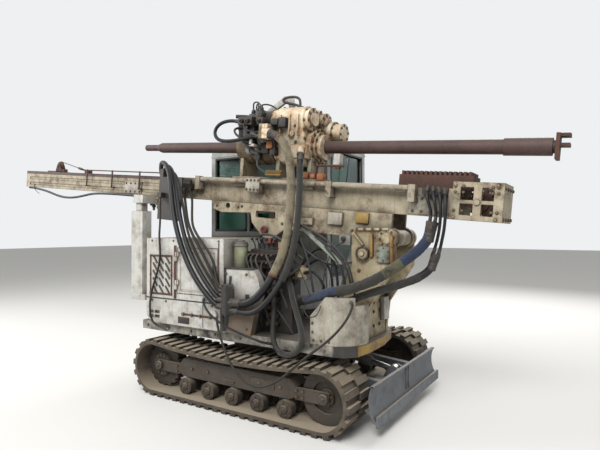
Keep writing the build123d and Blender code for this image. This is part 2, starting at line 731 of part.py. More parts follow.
# Tower that carries the mast's pivot and the raise cylinders
with BuildPart() as tower:
    for hand in (-1, 1):
        cheek = mast_y + hand * (tower_w - tower_t) / 2
        with BuildSketch(side.offset(-cheek - tower_t / 2)) as web:
            with BuildLine():
                Polyline(
                    (760, deck_top), (1150, deck_top), (1185, 980), (tower_x[1], 1310),
                    (tower_x[1], tower_top - 60), (tower_x[1] - 60, tower_top),
                    (tower_x[0] + 50, tower_top), (tower_x[0], tower_top - 50), (tower_x[0], 1345),
                    (990, 1240), (950, 1010), (800, 990), (760, deck_top),
                )
            make_face()
        extrude(web.sketch, amount=tower_t)
        ear = sorted((hand * tower_w / 2, hand * (tower_w / 2 - tower_t)))
        disc(side.offset(-mast_y), (pivot_x, pivot_z), pivot_r + 34, ear)
    face = tower_w / 2 - mast_y
    block(side, (tower_x[1] - 200, tower_x[1] - 178), (1400, 1580), (face - 1, face + 26))
    block(side, (tower_x[0] + 40, tower_x[1] - 40), (tower_top - 26, tower_top - 4), (face - 1, face + 22))
    block(side, (tower_x[1] - 26, tower_x[1] - 4), (1350, tower_top - 70), (face - 1, face + 30))
    cap = (tower_x[0] + 115, 1425)
    disc(side, cap, 54, (face - 1, face + 20))
    disc(side, cap, 44, (face + 20, face + 34))
    disc(side, cap, 20, (face + 34, face + 50))
    with BuildSketch(side.offset(face - 1)) as cover:
        with Locations((tower_x[1] - 88, 1420)):
            RectangleRounded(120, 140, 28)
    extrude(cover.sketch, amount=17)
    disc(side, (pivot_x, pivot_z), pivot_r + 34, (face - 1, face + 12))
    inner = (tower_w - 2 * tower_t) / 2
    block(floor, (1045, 1150), (mast_y - inner, mast_y + inner), (deck_top, 1100))
    disc(side.offset(-mast_y), (pivot_x, pivot_z), pivot_r, (-tower_w / 2 - 20, tower_w / 2 + 20))
    disc(side.offset(-mast_y), raise_base, 30, (-tower_w / 2, tower_w / 2))
keep(tower, "mast_tower")

# Rest post with the saddle under the parked mast
with BuildPart() as rest_post:
    block(floor, post_x, post_y, (weight_top - 60, 1830))
    block(floor, (post_x[0], post_x[1] + 45), post_y, (weight_top - 80, weight_top - 20))
    post_s = (post_x[0] - pivot_x) / cos(lean)
    saddle_y = (post_y[0] - mast_y, beam_w / 2)
    block(floor, (post_x[0] + 50, post_x[1] - 40), (post_y[0] + 20, post_y[1] - 20), (1820, 1970))
    block(mast_top, (post_s + 15, post_s + 170), saddle_y, (beam_h[0] - 90, beam_h[0] - saddle_gap))
keep(rest_post, "rest_post")

# Cab: hollow shell with window openings, glass, a side door and a seat
window_z = (sill_z, cab_top - 130)
with BuildPart() as cab:
    block(floor, cab_x, cab_y, (deck_top, cab_top))
    fillet(cab.edges().filter_by(Axis.X).group_by(Axis.Z)[-1], radius=60)
    inside_x = (cab_x[0] + cab_wall, cab_x[1] - cab_wall)
    inside_y = (cab_y[0] + cab_wall, cab_y[1] - cab_wall)
    block(floor, inside_x, inside_y, (deck_top + cab_floor_t, cab_top - cab_wall), Mode.SUBTRACT)
    for x in ((cab_x[0] + 70, -600), (-540, 60), (120, cab_x[1] - 70)):
        block(side, x, window_z, (-cab_y[0] - cab_wall - 1, -cab_y[0] + 1), Mode.SUBTRACT)
    pane_y = (cab_y[0] + 80, cab_y[1] - 80)
    front_z = (1150, window_z[1])
    block(across, pane_y, window_z, (cab_x[0] - 1, cab_x[0] + cab_wall + 1), Mode.SUBTRACT)
    block(across, pane_y, front_z, (cab_x[1] - cab_wall - 1, cab_x[1] + 1), Mode.SUBTRACT)
    door_z = (deck_top + 60, window_z[1])
    block(side, door_x, door_z, (-cab_y[1] - 1, -cab_y[1] + cab_wall + 1), Mode.SUBTRACT)
    left_wall = (-cab_y[1] - 1, -cab_y[1] + cab_wall + 1)
    block(side, (cab_x[0] + 70, door_x[0] - 70), window_z, left_wall, Mode.SUBTRACT)
    cab_hinge = (door_x[0], cab_y[1] + hinge_out)
    cab_hinge_z = (door_z[0] + 120, door_z[1] - 300)
    hinge(cab_hinge, (door_x[0] - 30, cab_y[1]), cab_hinge_z, False)
keep(cab, "cab_shell")

with BuildPart() as cab_glass:
    mid = cab_wall / 2
    for x in ((cab_x[0] + 70, -600), (-540, 60), (120, cab_x[1] - 70)):
        block(side, x, window_z, (-cab_y[0] - mid - glass_t, -cab_y[0] - mid))
    block(across, (cab_y[0] + 80, cab_y[1] - 80), window_z, (cab_x[0] + mid, cab_x[0] + mid + glass_t))
    block(across, pane_y, front_z, (cab_x[1] - mid - glass_t, cab_x[1] - mid))
    block(side, (cab_x[0] + 70, door_x[0] - 70), window_z, (-cab_y[1] + mid, -cab_y[1] + mid + glass_t))
keep(cab_glass, "cab_glass")

with BuildPart() as cab_door:
    leaf_x = (door_x[0] + door_gap, door_x[1] - door_gap)
    leaf_z = (door_z[0] + door_gap, door_z[1] - door_gap)
    leaf_right = (-cab_y[1], -cab_y[1] + cab_wall)
    block(side, leaf_x, leaf_z, leaf_right)
    pane_x = (leaf_x[0] + 60, leaf_x[1] - 60)
    pane_z = (sill_z, leaf_z[1] - 60)
    block(side, pane_x, pane_z, (leaf_right[0] - 1, leaf_right[1] + 1), Mode.SUBTRACT)
    hinge(cab_hinge, (door_x[0] + 30, cab_y[1]), cab_hinge_z, True)
keep(cab_door, "cab_door")

with BuildPart() as door_glass:
    block(side, pane_x, pane_z, (leaf_right[0] + mid, leaf_right[0] + mid + glass_t))
keep(door_glass, "door_glass")

with BuildPart() as seat:
    seat_y = (cab_y[0] + cab_y[1]) / 2
    floor_top = deck_top + cab_floor_t
    block(floor, (-620, -220), (seat_y - 200, seat_y + 200), (floor_top, 1080))
    block(floor, (-660, -160), (seat_y - 240, seat_y + 240), (1080, 1200))
    back_points = [(-700, 1200), (-580, 1200), (-660, 1800), (-780, 1800)]
    plate(side.offset(-seat_y), back_points, (-220, 220))
keep(seat, "operator_seat")

# Cradle under the mast: two side plates on the pivot with cross plates between
with BuildPart() as cradle:
    for hand in (-1, 1):
        near = hand * cradle_w / 2
        span = sorted((near, near - hand * cradle_t))
        with BuildSketch(mast_side.offset(span[0])) as web:
            with BuildLine():
                Polyline((0, beam_h[0]), (cradle_s[0], beam_h[0]), (cradle_s[0], 118))
                Polyline((cradle_s[0], 118), (-1840, 88), (-1462, 108))
                Polyline((-1462, 108), (-1438, 15), (-1310, -102))
                ThreePointArc((-1310, -102), (-1232, -124), (-1150, -96))
                Polyline((-1150, -96), (-1050, -20), (-400, -20), (0, -85))
                ThreePointArc((0, -85), (85, 0), (0, 85))
                Line((0, 85), (0, beam_h[0]))
            make_face()
            with Locations((-1280, 100)):
                RectangleRounded(230, 62, 14, mode=Mode.SUBTRACT)
            with Locations((-1756, 160)):
                Circle(28, mode=Mode.SUBTRACT)
            with Locations((-1574, 160)):
                Circle(13, mode=Mode.SUBTRACT)
        extrude(web.sketch, amount=span[1] - span[0])
    disc(mast_side, (-1265, -40), 34, (-cradle_w / 2 - 26, cradle_w / 2 + 26))
    for s, h in (((-898, -733), (46, 108)), ((-580, -443), (70, 174))):
        block(mast_side, s, h, (cradle_w / 2 - 1, cradle_w / 2 + 34))
    disc(mast_side, (0, 0), cradle_hub_r, (-cradle_w / 2, cradle_w / 2))
    disc(mast_side, (0, 0), pivot_r + running_gap, (-cradle_w, cradle_w), Mode.SUBTRACT)
    half = cradle_w / 2 - cradle_t
    for s in ((cradle_s[0], cradle_s[0] + 250), (-1200, -800)):
        block(mast_top, s, (-half, half), (beam_h[0] - 30, beam_h[0]))
    for hand in (-1, 1):
        pad = sorted((hand * cradle_w / 2, hand * (cradle_w / 2 - cradle_t - 6)))
        disc(mast_side, raise_eye, 62, pad)
keep(cradle, "mast_cradle")

# Mast beam: a hollow box with two guide rails on top
with BuildPart() as mast:
    half = beam_w / 2
    block(mast_top, (-beam_rear, beam_front), (-half, half), beam_h)
    inside = (beam_h[0] + beam_wall, beam_h[1] - beam_wall)
    room = (-half + beam_wall, half - beam_wall)
    block(mast_top, (-beam_rear - 1, beam_front + 1), room, inside, Mode.SUBTRACT)
    for hand in (-1, 1):
        rail = sorted((hand * half, hand * (half - rail_w)))
        block(mast_top, (-beam_rear, beam_front), rail, (beam_h[1], beam_h[1] + rail_h))
    for low in (235, 312):
        for hand in (-1, 1):
            groove = sorted((hand * (half - 6), hand * (half + 1)))
            block(mast_top, (-beam_rear + 90, hanger_s[0] - 120), groove, (low, low + 34), Mode.SUBTRACT)
keep(mast, "mast_beam")

# Open foot frame with the feed wheel
rail_top = beam_h[1] + rail_h
with BuildPart() as foot:
    half = foot_w / 2
    for hand in (-1, 1):
        web = sorted((hand * half, hand * (half - 14)))
        block(mast_top, (beam_front, foot_front - 24), web, (beam_h[0] - 10, foot_top))
        cutter = sorted((hand * (half + 1), hand * (half - 15)))
        window = (beam_h[0] + 30, foot_top - 40)
        block(mast_top, (beam_front + 60, foot_front - 70), cutter, window, Mode.SUBTRACT)
    block(mast_top, (foot_front - 24, foot_front), (-half, half), (beam_h[0] - 10, foot_top))
    block(mast_top, (beam_front - 30, beam_front), (-half, half), (beam_h[0] - 10, rail_top))
    inner = beam_w / 2
    seat = (beam_h[0], rail_top + 1)
    block(mast_top, (beam_front - 31, beam_front + 1), (-inner, inner), seat, Mode.SUBTRACT)
    foot_axle = ((beam_front + foot_front) / 2, (beam_h[0] + foot_top) / 2 - 10)
    for hand in (-1, 1):
        web = sorted((hand * half, hand * (half - 34)))
        block(mast_top, (foot_axle[0] - 30, foot_axle[0] + 30), web, (beam_h[0] - 10, foot_top))
        block(mast_top, (beam_front, foot_front - 24), web, (foot_axle[1] - 14, foot_axle[1] + 14))
    disc(mast_side, foot_axle, 22, (-half - 12, half + 12))
    for s in (beam_front + 20, foot_front - 46):
        for h in (beam_h[0] + 10, foot_top - 20):
            disc(mast_side, (s, h), 11, (half - 1, half + 10))
keep(foot, "mast_foot")

with BuildPart() as foot_wheel:
    disc(mast_side, foot_axle, foot_wheel_r, (-36, 36))
    with BuildSketch(mast_side.offset(-37)) as gaps:
        with Locations(foot_axle):
            with PolarLocations(foot_wheel_r, 12):
                Circle(17)
    extrude(gaps.sketch, amount=74, mode=Mode.SUBTRACT)
    disc(mast_side, foot_axle, 60, (-60, 60))
    disc(mast_side, foot_axle, 22 + running_gap, (-61, 61), Mode.SUBTRACT)
keep(foot_wheel, "feed_wheel")

# Ribbed guard over the feed chain at the foot
with BuildPart() as guard:
    block(mast_top, (10, 600), (-115, 115), (rail_top, rail_top + guard_h))
    for k in range(15):
        rib = 30 + k * 38
        block(mast_top, (rib, rib + 20), (-115, 115), (rail_top + guard_h, rail_top + guard_h + 30))
keep(guard, "chain_guard")

# Feed cylinder along the mast's right side, on brackets that stand clear of the carriage
grip_t = 22
grip_gap = 6
grip_out = beam_w / 2 + grip_gap + grip_t
with BuildPart() as feed_tube:
    near = grip_out + 8
    right = near + feed_tube_r + 6
    height = rail_top - 12
    disc(mast_end, (-right, height), feed_tube_r, (-2180, 190))
    for s in (-2180, -1400, -620, 130):
        block(mast_top, (s, s + 60), (-right - 20, -beam_w / 2), (height - 110, height - 80))
        block(mast_top, (s, s + 60), (-right - 30, -near), (height - 110, height + 30))
keep(feed_tube, "feed_cylinder")

# Sheave and its bracket near the mast's rear end
sheave = (-4990, beam_h[1] + rail_h + 90)
with BuildPart() as sheave_bracket:
    for hand in (-1, 1):
        ear = [
            (sheave[0] - 70, rail_top), (sheave[0] + 90, rail_top),
            (sheave[0] + 25, sheave[1] + 25), (sheave[0] - 25, sheave[1] + 25),
        ]
        span = sorted((hand * 22, hand * 36))
        plate(mast_side, ear, span)
    block(mast_top, (sheave[0] - 90, sheave[0] + 110), (-beam_w / 2, beam_w / 2), (rail_top, rail_top + 14))
    disc(mast_side, sheave, 14, (-42, 42))
keep(sheave_bracket, "sheave_bracket")

with BuildPart() as top_sheave:
    with BuildSketch(mast_side.offset(-14)):
        with Locations(sheave):
            Circle(62)
            Circle(14 + running_gap, mode=Mode.SUBTRACT)
    extrude(amount=28)
keep(top_sheave, "top_sheave")

# Hose hanger: a bent plate with a taller post at its rear edge, standing off the mast's right side
with BuildPart() as hanger:
    plate_y = (-hanger_right, -hanger_right + 20)
    block(mast_top, hanger_s, plate_y, (-40, 405))
    block(mast_top, (hanger_s[0], hanger_s[0] + 50), plate_y, (400, 490))
    block(mast_top, (hanger_s[0], hanger_s[0] + 60), (-hanger_right + 20, -beam_w / 2), (220, 280))
    block(mast_top, (hanger_s[1] - 40, hanger_s[1]), (-hanger_right + 20, -beam_w / 2), (304, 352))
    block(mast_top, (-2490, -2425), (-hanger_right - 62, -hanger_right), (190, 240))
    gland(loop_routes["hanger_drain"], 0, 40)
keep(hanger, "hose_hanger")

# Unions on the mast's side that the hanging hoses start from
with BuildPart() as manifold:
    block(mast_top, (-2700, -2275), (-195, -beam_w / 2), (290, 340))
    block(mast_top, (-2700, -2275), (-195, -172), (290, 400))
    block(mast_top, (235, beam_front - 33), (-188, -beam_w / 2), (372, rail_top))
    for name in ("hanger_outer", "hanger_inner", "hanger_thin", "hood_low", "hood_high"):
        gland(head_routes[name], 0, 48)
    for name in foot_feeders:
        gland(foot_feeders[name], 0, 40)
keep(manifold, "hose_manifold")

# Rotary head: gear case with a long chuck, then its carriage and motors
pipe_run = [
    (-1560, 300, 968), (-1640, 305, 980), (-1725, 310, 978), (-1805, 315, 955), (-1858, 318, 905),
    (-1862, 320, 848), (-1818, 322, 800), (-1740, 323, 782), (-1645, 322, 782), (-1550, 318, 792),
    (-1455, 312, 812), (-1378, 305, 828), (-1300, 305, 828),
]
pipe_spots = [pivot + mast_run * s + mast_up * h - Vector(0, right, 0) for s, right, h in pipe_run]
head_pipe = (34, [(spot.X - slew_x, spot.Y, spot.Z) for spot in pipe_spots])
lobes = ((-125, rod_h + 235), (125, rod_h + 235))
with BuildPart() as gear_case:
    with BuildSketch(mast_end.offset(head_s[0] + 40)) as case:
        with Locations((0, rod_h)):
            Circle(185)
        with Locations(*lobes):
            Circle(118)
        make_hull()
    extrude(amount=head_s[1] - head_s[0] - 110)
    fillet(gear_case.edges().group_by(SortBy.LENGTH)[-1], radius=26)
    for lobe in lobes:
        disc(mast_end, lobe, 104, (head_s[0], head_s[1] - 30))
        disc(mast_end, lobe, 62, (head_s[1] - 30, head_s[1] - 8))
    disc(mast_end, (150, rod_h + 150), 92, (head_s[1] - 90, head_s[1] + 150))
    disc(mast_end, (150, rod_h + 150), 112, (head_s[1] + 20, head_s[1] + 60))
    disc(mast_end, (0, rod_h), 172, (head_s[0], head_s[1] - 12))
    disc(mast_end, (0, rod_h), 140, (head_s[1] - 12, head_s[1] + 14))
    disc(mast_end, (0, rod_h), 118, (head_s[1] + 14, head_s[1] + 60))
    disc(mast_end, (0, rod_h), 160, (head_s[0] - chuck_len + 60, head_s[0]))
    disc(mast_end, (0, rod_h), 138, (head_s[0] - chuck_len, head_s[0] - chuck_len + 60))
    for s in (head_s[0] - 310, head_s[0] - 180, head_s[0] - 40):
        disc(mast_end, (0, rod_h), 170, (s, s + 22))
    block(mast_top, (head_s[0] - 45, head_s[0] + 54), (-345, -205), (rod_h + 35, rod_h + 170))
    block(mast_top, (-1010, -850), (-235, -130), (640, 760))
    lever = [
        (-1535, rod_h + 340), (-1475, rod_h + 322), (-1250, rod_h + 458), (-1205, rod_h + 330),
        (-1150, rod_h + 330), (-1195, rod_h + 500), (-1290, rod_h + 500),
    ]
    plate(mast_side, lever, (-40, -16))
    block(mast_top, (-1250, -1180), (10, 60), (rod_h + 300, rod_h + 345))
    gland(head_routes["head_return"], -1, 75)
    gland(head_routes["head_supply"], -1, 75)
    bore = (head_s[0] - chuck_len - 10, head_s[1] + 70)
    disc(mast_end, (0, rod_h), rod_r + spin_gap, bore, Mode.SUBTRACT)
keep(gear_case, "rotary_gear_case")

with BuildPart() as carriage:
    head_rear = head_s[0] - chuck_len
    block(mast_top, (head_rear, head_s[1] + 60), (-grip_out, grip_out), (rail_top + grip_gap, rail_top + 36))
    for hand in (-1, 1):
        for s in ((head_rear + 10, head_rear + 230), (head_s[1] - 190, head_s[1] + 40)):
            grip = sorted((hand * (beam_w / 2 + grip_gap), hand * grip_out))
            block(mast_top, s, grip, (beam_h[1] - 25, rail_top + grip_gap))
            shoe = sorted((hand * (beam_w / 2 + slide_gap), hand * (beam_w / 2 + grip_gap)))
            block(mast_top, (s[0] + 20, s[1] - 20), shoe, (beam_h[1] + 5, rail_top - 5))
    for s in (head_rear + 60, head_s[0] + 20, head_s[1] - 60):
        block(mast_top, (s, s + 40), (-120, 120), (rail_top + 36, rod_h - 120))
    add(gear_case.part, mode=Mode.SUBTRACT)
keep(carriage, "head_carriage")

with BuildPart() as motors:
    for lobe in lobes:
        disc(mast_end, lobe, 95, (head_s[0] - 120, head_s[0]))
        disc(mast_end, lobe, 78, (head_s[0] - 300, head_s[0] - 120))
        disc(mast_end, lobe, 50, (head_s[0] - 330, head_s[0] - 300))
        port_h = (lobe[1] + 40, lobe[1] + 105)
        block(mast_end, (lobe[0] - 45, lobe[0] + 45), port_h, (head_s[0] - 270, head_s[0] - 150))
    block(mast_top, (-1555, -1390), (-345, -180), (930, 1005))
    block(mast_top, (-1530, -1400), (-290, -170), (770, 935))
    for h in (872, 912):
        disc(mast_side, (-1465, h), 17, (285, 325))
    gland(head_pipe, 0, 30)
keep(motors, "drive_motors")

# Drill rod with its coupling and the yoke plate at the front end
with BuildPart() as drill_rod:
    disc(mast_end, (0, rod_h), rod_r, (-rod_rear, coupling_s[0]))
    with BuildSketch(mast_side) as tail:
        Polygon(
            (-rod_rear, rod_h), (-rod_rear, rod_h + rod_r), (-rod_rear - tail_cone, rod_h + nipple_r),
            (-rod_rear - nipple_len, rod_h + nipple_r), (-rod_rear - nipple_len, rod_h), align=None,
        )
    revolve(tail.sketch, axis=Axis(pivot + mast_up * rod_h, mast_run))
    disc(mast_end, (0, rod_h), coupling_r, coupling_s)
    disc(mast_end, (0, rod_h), 48, (coupling_s[1], yoke_s))
keep(drill_rod, "drill_rod")

with BuildPart() as yoke:
    block(mast_end, (-70, 70), (rod_h - yoke_r, rod_h + yoke_r), (yoke_s, yoke_s + yoke_t))
    for lift in (yoke_r - 22, 0):
        block(mast_end, (-50, 50), (rod_h + lift, rod_h + lift + 22), (yoke_s + yoke_t, yoke_reach))
keep(yoke, "rod_yoke")

# Raise cylinders between the tower's cheeks
raise_top = (
    pivot_x + raise_eye[0] * cos(lean) + raise_eye[1] * sin(lean),
    pivot_z - raise_eye[0] * sin(lean) + raise_eye[1] * cos(lean),
)
raise_closed = 560
strut(
    raise_base, raise_top, side.offset(-mast_y), (-raise_y, raise_y), raise_barrel_r, raise_rod_r,
    raise_closed, ("raise_cylinder_barrels", "raise_cylinder_rods"), 30,
)

# The hoses themselves, one node for each place that they hang in
wrap = Plane(Vector(slew_x + wrap_x[0], 0, 0), x_dir=(0, 1, 0), z_dir=(1, 0, 0))
with BuildPart() as collar:
    with BuildSketch(wrap):
        with Locations((sum(wrap_y) / 2, sum(wrap_z) / 2)):
            RectangleRounded(wrap_y[1] - wrap_y[0], wrap_z[1] - wrap_z[0], 40)
    extrude(amount=wrap_x[1] - wrap_x[0])
keep(collar, "hose_wrap")

with BuildPart() as foot_collars:
    for name in foot_routes:
        gland(foot_routes[name], 0, collar_len)
keep(foot_collars, "foot_hose_collars")

hose_nodes = {
    "head_hoses": head_routes, "foot_hoses": {**foot_routes, **foot_feeders}, "loop_hoses": loop_routes,
    "bay_hoses": bay_routes, "head_pipe_hoses": {"head_pipe": head_pipe},
}
for node, routes in hose_nodes.items():
    with BuildPart() as bundle:
        for name, route in routes.items():
            hose(name, route[0], route_points(route))
    keep(bundle, node)
print("slew axis x", round(slew_x, 2), "pivot", [round(v, 2) for v in pivot])
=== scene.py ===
import math

import bpy
from mathutils import Matrix, Vector


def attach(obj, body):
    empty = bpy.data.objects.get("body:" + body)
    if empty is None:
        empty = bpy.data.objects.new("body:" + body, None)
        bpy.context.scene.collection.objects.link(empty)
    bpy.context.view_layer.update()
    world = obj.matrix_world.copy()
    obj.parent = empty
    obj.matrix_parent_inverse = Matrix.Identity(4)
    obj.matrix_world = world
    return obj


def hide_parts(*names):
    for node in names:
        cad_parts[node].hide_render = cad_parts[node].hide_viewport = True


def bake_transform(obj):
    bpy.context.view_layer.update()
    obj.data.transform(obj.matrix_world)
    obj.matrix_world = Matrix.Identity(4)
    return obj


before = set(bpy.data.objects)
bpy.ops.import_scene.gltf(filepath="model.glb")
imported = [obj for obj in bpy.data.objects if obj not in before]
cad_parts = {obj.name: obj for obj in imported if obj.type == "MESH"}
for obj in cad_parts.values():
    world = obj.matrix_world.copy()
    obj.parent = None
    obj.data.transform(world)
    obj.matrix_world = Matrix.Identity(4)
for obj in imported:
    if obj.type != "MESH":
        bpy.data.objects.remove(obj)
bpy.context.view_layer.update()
print("frame loaded with", len(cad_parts), "nodes")

# Camera off the machine's right front corner, at a standing person's eye
view = {"place": (3.63158, -4.236, 1.6), "turn": math.radians(32.39), "lift": math.radians(0.83),
        "lens": 29.1, "sensor": 36}

bpy.ops.object.select_all(action="DESELECT")
bpy.ops.object.camera_add(location=view["place"], rotation=(math.pi / 2 + view["lift"], 0, view["turn"]))
camera = bpy.context.object
camera.data.lens = view["lens"]
camera.data.sensor_width = view["sensor"]
bpy.context.scene.camera = camera

